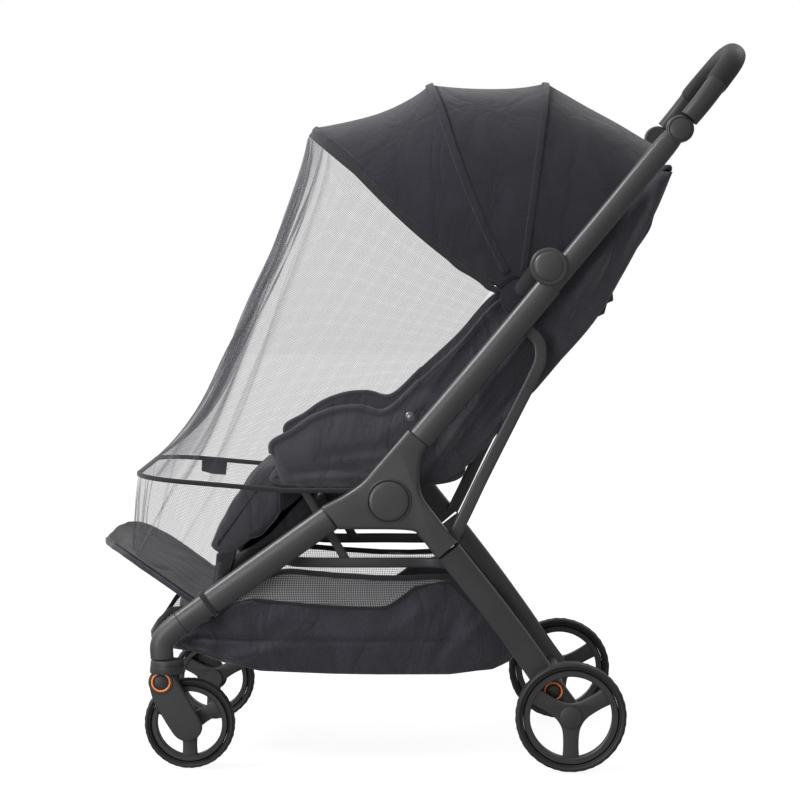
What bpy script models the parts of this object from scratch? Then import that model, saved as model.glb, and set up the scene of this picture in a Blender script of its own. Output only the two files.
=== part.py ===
"""A compact stroller, plain, with the mosquito net that is fitted over its front.

Metres, +Z up. The stroller stands on z = 0 and faces -X, and its near side is at -Y. The origin is
on the floor, below the middle of the whole object. Pieces that come in pairs end in _near and _far.
"""

import math

import bmesh
import bpy
from mathutils import Vector

# Frame: places in the side view are (x, z), and tubes run in the two planes y = +-TUBE_Y
TUBE_Y = 0.2075
TUBE_DEPTH = 0.024
TUBE_INNER_Y = TUBE_Y - TUBE_DEPTH / 2
GAP = 0.0003
UPPER_WIDTH = 0.033
LOWER_WIDTH = 0.037
LEG_WIDTH = 0.039
REAR_LEG_WIDTH = 0.038
REAR_LEG_DEPTH = 0.022
HANDLE_JOINT = (0.370, 0.930)
JOINT_RADIUS = 0.0195
JOINT_DEPTH = 0.026
CANOPY_HUB = (0.183, 0.734)
HUB_RADIUS = 0.027
HUB_DISC_HEIGHT = 0.007
# The hub's inner lobe that carries the canopy: rounds of (x, z) and radius, the first at its pin
HUB_PIN_RADIUS = 0.006
HUB_LOBE = (
    ((0.1745, 0.7410), 0.0125),
    ((0.1610, 0.7210), 0.0150),
    ((0.1470, 0.7020), 0.0170),
)
PIVOT = (-0.046, 0.396)
PIVOT_RADIUS = 0.0325
PIVOT_DISC_HEIGHT = 0.004
UPPER_TUBE = ((0.3569, 0.9149), (0.270, 0.809), (0.1857, 0.7075))
LOWER_TUBE = ((0.1854, 0.7072), (0.095, 0.598), (-0.0010, 0.4853))
FRONT_LEG = (
    (-0.1315, 0.3705),
    (-0.240, 0.2930),
    (-0.330, 0.2290),
    (-0.360, 0.2065),
    (-0.3758, 0.1870),
    (-0.3765, 0.1637),
)
REAR_HUB = (0.218, 0.081)
REAR_LEG_Y = 0.1815
# Points (x, y, z) of the far side: the rear leg from its housing to its hub, and the strut behind
REAR_LEG = (
    (0.0397, TUBE_Y, 0.3214),
    (0.1000, 0.1960, 0.2440),
    (0.1500, 0.1850, 0.1760),
    (0.1900, REAR_LEG_Y, 0.1180),
    (0.2140, REAR_LEG_Y, 0.0850),
)
STRUT_Y = 0.1908
STRUT_WIDTH = 0.018
STRUT_DEPTH = 0.008
STRUT = (
    (0.0460, 0.3380),
    (0.0660, 0.3790),
    (0.0900, 0.4300),
    (0.1340, 0.5180),
    (0.1600, 0.5700),
    (0.1720, 0.6000),
    (0.1690, 0.6260),
    (0.1510, 0.6440),
)
HANDLE = (
    (0.3832, 0.2075, 0.9452),
    (0.4050, 0.2050, 0.9720),
    (0.4270, 0.1900, 1.0010),
    (0.4460, 0.1600, 1.0250),
    (0.4560, 0.1150, 1.0390),
    (0.4595, 0.0550, 1.0450),
    (0.4600, 0.0000, 1.0460),
)
HANDLE_RADIUS = 0.0165
HOUSING = (
    (-0.1429, 0.3875),
    (-0.1120, 0.4040),
    (-0.0850, 0.4230),
    (-0.0640, 0.4470),
    (-0.0190, 0.4990),
    (0.0090, 0.4760),
    (0.0010, 0.4600),
    (-0.0020, 0.4300),
    (0.0020, 0.4020),
    (0.0230, 0.3720),
    (0.0520, 0.3360),
    (0.0230, 0.3120),
    (-0.0010, 0.3420),
    (-0.0200, 0.3530),
    (-0.1191, 0.3541),
)

# Wheels and casters
FRONT_RADIUS = 0.0665
FRONT_HUB = (-0.338, FRONT_RADIUS)
FRONT_WHEEL_Y = 0.1900
REAR_WHEEL_Y = 0.2095
TYRE_WIDTH = 0.024
RIM_DEPTH = 0.012
WHEEL_SIDES = 24
CASTER_X = -0.3685
CASTER_RADIUS = 0.026
CASTER_HEIGHT = 0.0182
CASTER_Z = 0.1531
FORK_INNER_Y = 0.2035
FORK_OUTER_Y = 0.2195
FORK = (
    (-0.3900, 0.1437),
    (-0.3935, 0.1300),
    (-0.3900, 0.1050),
    (-0.3680, 0.0650),
    (-0.3540, 0.0480),
    (-0.3360, 0.0440),
    (-0.3210, 0.0540),
    (-0.3190, 0.0720),
    (-0.3330, 0.0980),
    (-0.3430, 0.1437),
)
# Orange rings on the forks and on the rear legs: centre, radius, and the ring's own section
FORK_RING = (-0.3770, 0.1272)
FORK_RING_RADIUS = 0.0130
REAR_RING = (0.1930, 0.1150)
REAR_RING_RADIUS = 0.0125
RING_WIDTH = 0.0042
RING_DEPTH = 0.0024

# Canopy: a fan of arches that stand on one axis, with the cloth drawn in between its bows
FAN_FOOT = (0.143, 0.688)
FOOT_RADIUS = 0.030
CANOPY_HALF_WIDTH = 0.193
CANOPY_CLOTH = 0.002
CANOPY_COLUMNS = 27
ARCH_SQUARENESS = 0.72
# name, angle in degrees, length from the foot, drop at mid length, dip of the cloth behind it
BOWS = (
    ("canopy_bow_front", 140.8, 0.396, 0.011, 0.015),
    ("canopy_bow_middle", 112.9, 0.342, 0.008, 0.009),
    ("canopy_bow_rear", 82.5, 0.320, 0.000, 0.006),
    ("canopy_rear_hem", 44.0, 0.310, 0.000, 0.000),
)
HEM_AHEAD = 0.0038
BOW_RADIUS = 0.0045
BOW_INSET = 0.0072

# Seat: outlines in the side view, from the front bottom corner round by the top
SEAT_SIDE_INNER_Y = 0.160
SEAT_SIDE_OUTER_Y = 0.175
SEAT_SIDE = (
    (-0.2040, 0.4130),
    (-0.2190, 0.4600),
    (-0.2170, 0.4760),
    (-0.1890, 0.4920),
    (-0.1600, 0.5120),
    (-0.1250, 0.5250),
    (-0.0890, 0.5280),
    (-0.0500, 0.5230),
    (-0.0020, 0.5660),
    (0.0560, 0.6200),
    (0.1110, 0.6810),
    (0.1650, 0.7010),
    (0.2500, 0.7790),
    (0.3480, 0.8710),
    (0.3640, 0.8700),
    (0.3380, 0.8080),
    (0.2920, 0.7200),
    (0.2480, 0.6480),
    (0.1700, 0.5600),
    (0.1150, 0.4950),
    (0.0650, 0.4420),
    (0.0200, 0.4170),
)
SEAT_BACK = (
    (0.0140, 0.4650),
    (0.0900, 0.5350),
    (0.2230, 0.6860),
    (0.2980, 0.8100),
    (0.3330, 0.8560),
    (0.3640, 0.8730),
    (0.3380, 0.8060),
    (0.2920, 0.7180),
    (0.2480, 0.6460),
    (0.1700, 0.5580),
    (0.1150, 0.4930),
    (0.0650, 0.4400),
)
SEAT_BASE = (
    (-0.2030, 0.4130),
    (-0.2140, 0.4400),
    (-0.2080, 0.4600),
    (-0.1850, 0.4680),
    (-0.0900, 0.4640),
    (0.0000, 0.4560),
    (0.0130, 0.4640),
    (0.0640, 0.4390),
    (0.0200, 0.4130),
)
LEG_REST_HALF_WIDTH = 0.145
LEG_REST = (
    (-0.2148, 0.4400),
    (-0.2042, 0.4140),
    (-0.2010, 0.3850),
    (-0.2130, 0.3560),
    (-0.2350, 0.3350),
    (-0.2650, 0.3190),
    (-0.2960, 0.3080),
    (-0.3130, 0.3180),
    (-0.3110, 0.3300),
    (-0.2990, 0.3520),
    (-0.2720, 0.3990),
    (-0.2420, 0.4340),
)
# Footrest sections: place along x, height of its rim, half width and how deep its middle dips
FOOTREST = (
    (-0.4738, 0.3230, 0.060, 0.001),
    (-0.4675, 0.3240, 0.105, 0.004),
    (-0.4550, 0.3210, 0.140, 0.007),
    (-0.4350, 0.3120, 0.162, 0.010),
    (-0.4100, 0.2970, 0.173, 0.012),
    (-0.3830, 0.2790, 0.175, 0.012),
    (-0.3550, 0.2590, 0.175, 0.011),
    (-0.3360, 0.2450, 0.172, 0.009),
    (-0.3180, 0.2350, 0.165, 0.006),
    (-0.3060, 0.2500, 0.152, 0.003),
    (-0.3000, 0.2780, 0.145, 0.001),
    (-0.2975, 0.3074, 0.142, 0.000),
)
FOOTREST_THICK = 0.006

# Basket: a tray with its outline in the side view, open at the top
BASKET_HALF_WIDTH = 0.154
BASKET_WALL = 0.003
BASKET = (
    (-0.4060, 0.1800),
    (-0.3700, 0.2260),
    (-0.3480, 0.2280),
    (-0.3300, 0.2160),
    (-0.3050, 0.2160),
    (-0.2850, 0.2400),
    (-0.2450, 0.2720),
    (-0.2020, 0.2900),
    (-0.1600, 0.2898),
    (-0.0900, 0.2820),
    (-0.0200, 0.2840),
    (0.0180, 0.2898),
    (0.0420, 0.2860),
    (0.1100, 0.2050),
    (0.1440, 0.1550),
    (0.1000, 0.1380),
    (-0.0300, 0.1320),
    (-0.2400, 0.1380),
    (-0.3360, 0.1620),
    (-0.3900, 0.1680),
)
# Inner outline of the tray from its front up over the rim and down the back
BASKET_HOLLOW = (
    (-0.3960, 0.1810),
    (-0.3650, 0.2220),
    (-0.3480, 0.2240),
    (-0.3300, 0.2120),
    (-0.3020, 0.2120),
    (-0.2800, 0.2380),
    (-0.2400, 0.2680),
    (-0.2400, 0.3500),
    (0.0480, 0.3500),
    (0.0385, 0.2800),
    (0.1050, 0.2030),
    (0.1380, 0.1590),
)
# Bars above the basket, from the front leg to the housing: points (x, y, z) of the far side
BAR_Z = 0.2980
BAR_Y = 0.1520
BAR_WIDTH = 0.0150
BAR_DEPTH = 0.0080
LOWER_BAR = (
    (-0.2120, 0.1938, 0.3125),
    (-0.1900, 0.1735, 0.3030),
    (-0.1600, BAR_Y, BAR_Z),
    (-0.0600, BAR_Y, BAR_Z),
    (0.0150, BAR_Y, BAR_Z),
    (0.0560, 0.1886, BAR_Z),
)
SEAT_BAR = (-0.0600, 0.4032)
SEAT_BAR_WIDTH = 0.020
AXLE = (0.2050, 0.0980)
AXLE_WIDTH = 0.018

# Net: one thin sheet from the canopy to the hoop, and a skirt from the hoop into the footrest
NET_THICK = 0.0012
NET_Y = 0.1900
BINDING_WIDTH = 0.0095
NET_TOP_SHIFT = 0.0145
NET_TOP_WIDER = 0.0010
HOOP_REAR_X = -0.0850
HOOP_FRONT_X = -0.4190
HOOP_CORNER = 0.0700
HOOP_Z = 0.4080
HOOP_RISE = 0.0850
HOOP_RISE_FROM_X = -0.2000
HOOP_BAND_HEIGHT = 0.0070
HOOP_BAND_DEPTH = 0.0050
NET_EDGE_LIFT = 0.0042
NET_COLUMNS = 46
NET_ROWS = 9
SKIRT_COLUMNS = 34
SKIRT_ROWS = 5
FRONT_SAG = 0.027
SIDE_SAG = 0.0004
# Folds of the upper net: place at the top and at the hoop (0 near, 1 far), height, half width
NET_FOLDS = (
    (0.455, 0.400, 0.0070, 0.016),
    (0.410, 0.345, -0.0060, 0.018),
    (0.375, 0.285, 0.0060, 0.014),
    (0.490, 0.470, -0.0050, 0.016),
    (0.535, 0.560, 0.0060, 0.016),
    (0.580, 0.640, -0.0060, 0.018),
    (0.630, 0.710, 0.0055, 0.016),
)
# Creases of the skirt in the same terms
SKIRT_FOLDS = (
    (0.150, 0.170, 0.0040, 0.020),
    (0.300, 0.300, 0.0050, 0.016),
    (0.370, 0.375, -0.0045, 0.018),
    (0.560, 0.540, 0.0050, 0.020),
    (0.700, 0.720, 0.0045, 0.018),
    (0.860, 0.850, -0.0040, 0.020),
)
SKIRT_REAR_X = -0.2050
SKIRT_FOOT_FRONT_X = -0.4320
SKIRT_FOOT_REAR_X = -0.3200
SKIRT_FOOT_Y = 0.1500
SKIRT_FOOT_CORNER = 0.0700
DRAPE_CLEAR = 0.0026
STUD = (-0.0160, 0.5160)
STUD_RADIUS = 0.0070
STUD_HEIGHT = 0.0035
TAB = (
    (-0.3550, 0.4226),
    (-0.3140, 0.4190),
    (-0.3170, 0.3940),
    (-0.3370, 0.3950),
    (-0.3560, 0.4000),
)
TAB_THICK = 0.0014
# Straps of the footrest: centre on the front leg, the cord's width and its clearance there
STRAP_AT = (-0.3080, 0.2447)
STRAP_WIDTH = 0.0036
STRAP_CLEAR = 0.0005

SIDES = (("near", -1.0), ("far", 1.0))


def clear_scene():
    """Remove every object and make the two collections."""
    for item in list(bpy.data.objects):
        bpy.data.objects.remove(item, do_unlink=True)
    made = []
    for name in ("stroller_mosquito_net", "cutters"):
        group = bpy.data.collections.new(name)
        bpy.context.scene.collection.children.link(group)
        made.append(group)
    made[1].hide_render = True
    return made


PARTS, CUTTERS = clear_scene()


def make_material(name, colour, roughness, metallic=0.0):
    made = bpy.data.materials.new(name)
    made.use_nodes = True
    shader = made.node_tree.nodes["Principled BSDF"]
    shader.inputs["Base Color"].default_value = (*colour, 1.0)
    shader.inputs["Roughness"].default_value = roughness
    shader.inputs["Metallic"].default_value = metallic
    return made


FRAME_PAINT = make_material("graphite_paint", (0.030, 0.032, 0.034), 0.42, 0.5)
PLASTIC = make_material("dark_plastic", (0.024, 0.025, 0.027), 0.55)
GRIP_FOAM = make_material("grip_foam", (0.018, 0.018, 0.020), 0.8)
RUBBER = make_material("tyre_rubber", (0.012, 0.012, 0.013), 0.75)
CLOTH = make_material("charcoal_cloth", (0.035, 0.034, 0.042), 0.9)
NET_CLOTH = make_material("net_mesh", (0.10, 0.10, 0.11), 0.85)
BAND_CLOTH = make_material("binding_tape", (0.030, 0.030, 0.034), 0.85)
ORANGE = make_material("orange_trim", (0.75, 0.22, 0.04), 0.45)
STEEL = make_material("stud_metal", (0.16, 0.16, 0.17), 0.35, 0.8)


def put(made, material, group=PARTS):
    """Give an object its material and its collection."""
    made.data.materials.append(material)
    group.objects.link(made)
    return made


def signed_power(value, power):
    return math.copysign(abs(value) ** power, value)


def smooth_path(points, steps):
    """Catmull-Rom curve through the points, with so many steps between two of them."""
    ends = [points[0], *points, points[-1]]
    path = []
    for index in range(1, len(ends) - 2):
        before, start, stop, after = (Vector(p) for p in ends[index - 1 : index + 3])
        for step in range(steps):
            t = step / steps
            along = start * 2 + (stop - before) * t
            along += (before * 2 - start * 5 + stop * 4 - after) * t**2
            along += (start * 3 - before - stop * 3 + after) * t**3
            path.append(along / 2)
    path.append(Vector(points[-1]))
    return path


def evenly(points, count):
    """The same line with count points, all the same way apart along it."""
    reach = [0.0]
    for start, stop in zip(points, points[1:]):
        reach.append(reach[-1] + (Vector(stop) - Vector(start)).length)
    found, leg = [], 0
    for step in range(count):
        target = reach[-1] * step / (count - 1)
        while leg < len(points) - 2 and reach[leg + 1] < target:
            leg += 1
        share = (target - reach[leg]) / (reach[leg + 1] - reach[leg])
        found.append(Vector(points[leg]).lerp(Vector(points[leg + 1]), share))
    return found


def tube(name, points, width, depth, material, resolution=4, closed=False, radii=None):
    """A tube along a path: width across it in the side view, depth along Y."""
    squash = depth / width
    data = bpy.data.curves.new(name, "CURVE")
    data.dimensions = "3D"
    data.bevel_depth = width / 2
    data.bevel_resolution = resolution
    data.use_fill_caps = not closed
    spline = data.splines.new("POLY")
    spline.points.add(len(points) - 1)
    for index, (x, y, z) in enumerate(points):
        spline.points[index].co = (x, y / squash, z, 1.0)
        spline.points[index].radius = radii[index] if radii else 1.0
    spline.use_cyclic_u = closed
    spline.use_smooth = True
    made = bpy.data.objects.new(name, data)
    made.scale = (1.0, squash, 1.0)
    return put(made, material)


def plate(name, outlines, y_low, y_high, bevel, material):
    """A flat piece in the side view; the first outline is its rim and the others are windows."""
    data = bpy.data.curves.new(name, "CURVE")
    data.dimensions = "2D"
    data.fill_mode = "BOTH"
    data.extrude = (y_high - y_low) / 2 - bevel
    data.bevel_depth = bevel
    data.bevel_resolution = 0
    data.offset = -bevel
    for outline in outlines:
        spline = data.splines.new("POLY")
        spline.points.add(len(outline) - 1)
        for index, (x, z) in enumerate(outline):
            spline.points[index].co = (x, z, 0.0, 1.0)
        spline.use_cyclic_u = True
    made = bpy.data.objects.new(name, data)
    made.location = (0.0, (y_low + y_high) / 2, 0.0)
    made.rotation_euler = (math.pi / 2, 0.0, 0.0)
    return put(made, material)


def side_plate(name, side, outlines, y_inner, y_outer, bevel, material):
    low, high = sorted((side * y_inner, side * y_outer))
    return plate(name, outlines, low, high, bevel, material)


def cylinder(name, centre, radius, y_inner, y_outer, material, sides=24, group=PARTS, bevel=0.0015):
    """A round piece with its axis along Y."""
    mesh = bpy.data.meshes.new(name)
    shape = bmesh.new()
    bmesh.ops.create_cone(
        shape,
        cap_ends=True,
        segments=sides,
        radius1=radius,
        radius2=radius,
        depth=abs(y_outer - y_inner),
    )
    shape.to_mesh(mesh)
    shape.free()
    made = bpy.data.objects.new(name, mesh)
    made.location = (centre[0], (y_inner + y_outer) / 2, centre[1])
    made.rotation_euler = (math.pi / 2, 0.0, 0.0)
    if bevel:
        edge = made.modifiers.new("soft edge", "BEVEL")
        edge.width = bevel
        edge.segments = 1
        edge.limit_method = "ANGLE"
    return put(made, material, group)


def sheet(name, rows, thickness, material, offset=0.0):
    """A closed thin solid from rows of points of one surface."""
    mesh = bpy.data.meshes.new(name)
    shape = bmesh.new()
    grid = [[shape.verts.new(point) for point in row] for row in rows]
    for row, following in zip(grid, grid[1:]):
        for left in range(len(row) - 1):
            corners = (row[left], row[left + 1], following[left + 1], following[left])
            shape.faces.new(corners).smooth = True
    shape.to_mesh(mesh)
    shape.free()
    made = bpy.data.objects.new(name, mesh)
    solid = made.modifiers.new("thickness", "SOLIDIFY")
    solid.thickness = thickness
    solid.offset = offset
    return put(made, material)


def as_mesh(made, material):
    """Turn a curve object into a mesh object of the same shape, welded and in world space."""
    bpy.context.view_layer.update()
    seen = made.evaluated_get(bpy.context.evaluated_depsgraph_get())
    mesh = bpy.data.meshes.new_from_object(seen)
    mesh.transform(made.matrix_world)
    shape = bmesh.new()
    shape.from_mesh(mesh)
    bmesh.ops.remove_doubles(shape, verts=shape.verts, dist=0.00001)
    shape.to_mesh(mesh)
    shape.free()
    name = made.name
    bpy.data.objects.remove(made, do_unlink=True)
    mesh.materials.clear()
    return put(bpy.data.objects.new(name, mesh), material)


def fuse(made, tool, operation="UNION"):
    tool.display_type = "WIRE"
    tool.hide_render = True
    join = made.modifiers.new("join", "BOOLEAN")
    join.operation = operation
    join.object = tool


def arch(angle, length, half_width, drop, t):
    """Point of a canopy arch: t runs from 0 at its near foot to 1 at its far foot."""
    turn = math.pi * t
    heading = math.radians(angle)
    y = -half_width * signed_power(math.cos(turn), ARCH_SQUARENESS)
    reach = FOOT_RADIUS + (length - FOOT_RADIUS) * signed_power(math.sin(turn), ARCH_SQUARENESS)
    lower = drop * math.sin(math.pi * min(reach / 0.30, 1.0))
    x = FAN_FOOT[0] + reach * math.cos(heading) - lower * math.sin(heading)
    z = FAN_FOOT[1] + reach * math.sin(heading) + lower * math.cos(heading)
    return Vector((x, y, z))


def even_arch(angle, length, half_width, drop, count):
    fine = [arch(angle, length, half_width, drop, step / 200) for step in range(201)]
    return evenly(fine, count)


def canopy():
    """Cloth over the bows, dipping between them, with a narrow hem ahead of the front bow."""
    hem = math.degrees(HEM_AHEAD / BOWS[0][2])
    rows = [even_arch(BOWS[0][1] + hem, BOWS[0][2], CANOPY_HALF_WIDTH, BOWS[0][3], CANOPY_COLUMNS)]
    for ahead, behind in zip(BOWS, BOWS[1:]):
        steps = 4
        for step in range(steps):
            share = step / steps
            dip = ahead[4] * 4 * share * (1 - share)
            angle = ahead[1] + (behind[1] - ahead[1]) * share
            length = ahead[2] + (behind[2] - ahead[2]) * share - dip
            drop = ahead[3] + (behind[3] - ahead[3]) * share
            rows.append(even_arch(angle, length, CANOPY_HALF_WIDTH, drop, CANOPY_COLUMNS))
    last = BOWS[-1]
    rows.append(even_arch(last[1], last[2], CANOPY_HALF_WIDTH, last[3], CANOPY_COLUMNS))
    sheet("canopy_cloth", rows, CANOPY_CLOTH, CLOTH, offset=1.0)
    for name, angle, length, drop, _ in BOWS[:3]:
        inner = (length - BOW_INSET, CANOPY_HALF_WIDTH - BOW_INSET)
        tube(name, even_arch(angle, *inner, drop, CANOPY_COLUMNS), 2 * BOW_RADIUS, 2 * BOW_RADIUS, PLASTIC, 0)


def flat_path(points, y):
    return [Vector((x, y, z)) for x, z in points]


def canopy_hub(word, side):
    """Disc outside the tube and a lobe inside it that carries the canopy, joined by a pin."""
    outer = TUBE_INNER_Y + TUBE_DEPTH
    cap = (side * (outer + GAP), side * (outer + HUB_DISC_HEIGHT))
    made = cylinder(f"canopy_hub_{word}", CANOPY_HUB, HUB_RADIUS, *cap, PLASTIC)
    lobe = (side * (CANOPY_HALF_WIDTH + GAP), side * (TUBE_INNER_Y - GAP))
    through = (lobe[0], side * (outer + HUB_DISC_HEIGHT / 2))
    rounds = [(HUB_LOBE[0][0], HUB_PIN_RADIUS, through)]
    rounds += [(place, radius, lobe) for place, radius in HUB_LOBE]
    for place, radius, ends in rounds:
        tool = cylinder(f"hub_tool_{word}", place, radius, *ends, PLASTIC, 16, CUTTERS, 0.0)
        fuse(made, tool)


def frame_side(word, side):
    """Tubes, housing, legs and discs of one side."""
    y = side * TUBE_Y
    depth = TUBE_DEPTH
    tube(f"upper_tube_{word}", flat_path(UPPER_TUBE, y), UPPER_WIDTH, depth, FRAME_PAINT)
    tube(f"lower_tube_{word}", flat_path(LOWER_TUBE, y), LOWER_WIDTH, depth, FRAME_PAINT)
    leg = smooth_path(flat_path(FRONT_LEG, y), 3)
    taper = [1.0 - 0.14 * max(0.0, i - 6) / (len(leg) - 7) for i in range(len(leg))]
    tube(f"front_leg_{word}", leg, LEG_WIDTH, depth, FRAME_PAINT, radii=taper)
    outline = (HOUSING,)
    inner, outer = TUBE_INNER_Y, TUBE_INNER_Y + TUBE_DEPTH
    side_plate(f"pivot_housing_{word}", side, outline, inner, outer, 0.004, FRAME_PAINT)
    cap = (side * (outer + GAP), side * (outer + PIVOT_DISC_HEIGHT))
    cylinder(f"pivot_disc_{word}", PIVOT, PIVOT_RADIUS, *cap, PLASTIC)
    canopy_hub(word, side)
    ends = (side * (TUBE_Y - JOINT_DEPTH / 2), side * (TUBE_Y + JOINT_DEPTH / 2))
    cylinder(f"handle_joint_{word}", HANDLE_JOINT, JOINT_RADIUS, *ends, PLASTIC)
    rear = [Vector((x, side * out, z)) for x, out, z in REAR_LEG]
    tube(f"rear_leg_{word}", rear, REAR_LEG_WIDTH, REAR_LEG_DEPTH, FRAME_PAINT)
    strut = smooth_path(flat_path(STRUT, side * STRUT_Y), 2)
    tube(f"back_strut_{word}", strut, STRUT_WIDTH, STRUT_DEPTH, FRAME_PAINT, 2)


def lower_bars():
    """The folding bars above the basket, the seat's bar and the axle, from side to side."""
    for word, side in SIDES:
        path = smooth_path([Vector((x, side * y, z)) for x, y, z in LOWER_BAR], 2)
        tube(f"lower_bar_{word}", path, BAR_WIDTH, BAR_DEPTH, PLASTIC, 2)
    for name, place, width, reach in (
        ("seat_bar", SEAT_BAR, SEAT_BAR_WIDTH, TUBE_INNER_Y - GAP),
        ("rear_axle", AXLE, AXLE_WIDTH, REAR_LEG_Y - REAR_LEG_DEPTH / 2 - GAP),
    ):
        ends = [Vector((place[0], y, place[1])) for y in (-reach, reach)]
        tube(name, ends, width, width, PLASTIC, 3)


def handle():
    half = smooth_path([Vector((x, -y, z)) for x, y, z in HANDLE], 3)
    whole = half + [Vector((p.x, -p.y, p.z)) for p in reversed(half[:-1])]
    tube("handle", whole, 2 * HANDLE_RADIUS, 2 * HANDLE_RADIUS, GRIP_FOAM, 2)


def ring_path(centre, radius, y, sides=WHEEL_SIDES):
    turns = [2 * math.pi * step / sides for step in range(sides)]
    return [
        Vector((centre[0] + radius * math.cos(a), y, centre[1] + radius * math.sin(a)))
        for a in turns
    ]


def window(centre, hole, spoke, middle):
    """One rounded window between two spokes; middle is its direction."""
    half = math.pi / 3 - math.asin(spoke / hole)
    steps = 6
    turns = [middle - half + 2 * half * step / steps for step in range(steps + 1)]
    points = [(hole * math.cos(a), hole * math.sin(a)) for a in turns]
    inner = spoke / math.sin(math.pi / 3) + 0.004
    for turn in (0.35, 0.0, -0.35):
        angle = middle + turn
        points.append((inner * math.cos(angle), inner * math.sin(angle)))
    return [(centre[0] + x, centre[1] + z) for x, z in points]


def wheel(name, centre, radius, y, hole, spoke, hub_ends):
    """Tyre and rim: the rim has three spokes, one of them pointing down, and a hub."""
    tread = 0.78 * (radius - hole)
    middle = radius - tread / 2
    tube(f"{name}_tyre", ring_path(centre, middle, y), tread, TYRE_WIDTH, RUBBER, 2, closed=True)
    rim = [(p.x, p.z) for p in ring_path(centre, radius - tread - 2 * GAP, y)]
    windows = [
        window(centre, hole, spoke, math.radians(angle)) for angle in (90.0, 210.0, 330.0)
    ]
    low, high = y - RIM_DEPTH / 2, y + RIM_DEPTH / 2
    made = as_mesh(plate(f"{name}_rim", [rim, *windows], low, high, 0.0, PLASTIC), PLASTIC)
    hub = cylinder(f"{name}_hub", centre, 0.0165, *hub_ends, PLASTIC, 20, CUTTERS, 0.0)
    fuse(made, hub)


def wheels():
    for word, side in SIDES:
        y = side * FRONT_WHEEL_Y
        ends = (y - side * 0.008, side * (FORK_INNER_Y - GAP))
        wheel(f"front_wheel_{word}", FRONT_HUB, FRONT_RADIUS, y, 0.0475, 0.0115, ends)
        y = side * REAR_WHEEL_Y
        ends = (side * (REAR_LEG_Y + REAR_LEG_DEPTH / 2 + 2 * GAP), y + side * 0.008)
        wheel(f"rear_wheel_{word}", REAR_HUB, REAR_HUB[1], y, 0.0595, 0.0135, ends)


def casters():
    """Round housings under the front legs, a fork arm outside each wheel, and the orange rings."""
    for word, side in SIDES:
        mesh = bpy.data.meshes.new(f"caster_{word}")
        shape = bmesh.new()
        bmesh.ops.create_cone(
            shape,
            cap_ends=True,
            segments=28,
            radius1=CASTER_RADIUS,
            radius2=CASTER_RADIUS * 0.94,
            depth=CASTER_HEIGHT,
        )
        shape.to_mesh(mesh)
        shape.free()
        made = bpy.data.objects.new(f"caster_{word}", mesh)
        made.location = (CASTER_X, side * TUBE_Y, CASTER_Z)
        put(made, PLASTIC)
        name = f"fork_{word}"
        side_plate(name, side, (FORK,), FORK_INNER_Y, FORK_OUTER_Y, 0.003, PLASTIC)
        for trim, place, radius, face in (
            ("fork_ring", FORK_RING, FORK_RING_RADIUS, FORK_OUTER_Y),
            ("brake_ring", REAR_RING, REAR_RING_RADIUS, REAR_LEG_Y + REAR_LEG_DEPTH / 2),
        ):
            path = ring_path(place, radius, side * (face + GAP + RING_DEPTH / 2), 20)
            tube(f"{trim}_{word}", path, RING_WIDTH, RING_DEPTH, ORANGE, 1, closed=True)


def seat():
    for word, side in SIDES:
        inner, outer = SEAT_SIDE_INNER_Y, SEAT_SIDE_OUTER_Y
        side_plate(f"seat_side_{word}", side, (SEAT_SIDE,), inner, outer, 0.005, CLOTH)
    half = SEAT_SIDE_INNER_Y - GAP
    plate("seat_back", (SEAT_BACK,), -half, half, 0.006, CLOTH)
    plate("seat_base", (SEAT_BASE,), -half, half, 0.006, CLOTH)
    plate("leg_rest", (LEG_REST,), -LEG_REST_HALF_WIDTH, LEG_REST_HALF_WIDTH, 0.008, CLOTH)


def footrest_height(x, y):
    """Height of the footrest's upper face."""
    for ahead, behind in zip(FOOTREST, FOOTREST[1:]):
        if ahead[0] <= x <= behind[0]:
            share = (x - ahead[0]) / (behind[0] - ahead[0])
            rim, half, dip = (a + (b - a) * share for a, b in zip(ahead[1:], behind[1:]))
            return rim - dip * (1 - min(abs(y) / half, 1.0) ** 4)
    return FOOTREST[0][1]


def footrest():
    rows = []
    for x, rim, half, dip in FOOTREST:
        row = []
        for step in range(17):
            across = -1 + step / 8
            row.append(Vector((x, half * across, rim - dip * (1 - across**4))))
        rows.append(row)
    sheet("footrest", rows, FOOTREST_THICK, CLOTH, offset=1.0)


def basket():
    """The tray, hollowed by a smaller prism that runs out through its top."""
    half = BASKET_HALF_WIDTH
    made = as_mesh(plate("basket", (BASKET,), -half, half, 0.002, CLOTH), CLOTH)
    wall = BASKET_WALL
    floor = [(x, z + wall) for x, z in BASKET[-5:]]
    hollow = [*BASKET_HOLLOW, *floor]
    tool = plate("basket_hollow", (hollow,), -half + wall, half - wall, 0.002, CLOTH)
    tool = as_mesh(tool, CLOTH)
    PARTS.objects.unlink(tool)
    CUTTERS.objects.link(tool)
    fuse(made, tool, "DIFFERENCE")


def hoop_height(x):
    return HOOP_Z + HOOP_RISE * max(0.0, HOOP_RISE_FROM_X - x)


def rounded_u(rear_x, front_x, half, corner):
    """Plan of a U from its near end round the front to its far end."""
    arc = []
    for step in range(13):
        turn = math.pi / 2 * step / 12
        x = front_x + corner * (1 - math.sin(turn))
        arc.append((x, -half + corner * (1 - math.cos(turn))))
    near = [(rear_x, -half), *arc]
    return near + [(x, -y) for x, y in reversed(near)]


def hoop_path(rear_x, lift, count):
    plan = rounded_u(rear_x, HOOP_FRONT_X, NET_Y, HOOP_CORNER)
    fine = evenly([Vector((x, y, 0.0)) for x, y in plan], 300)
    return evenly([Vector((p.x, p.y, hoop_height(p.x) + lift)) for p in fine], count)


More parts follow.
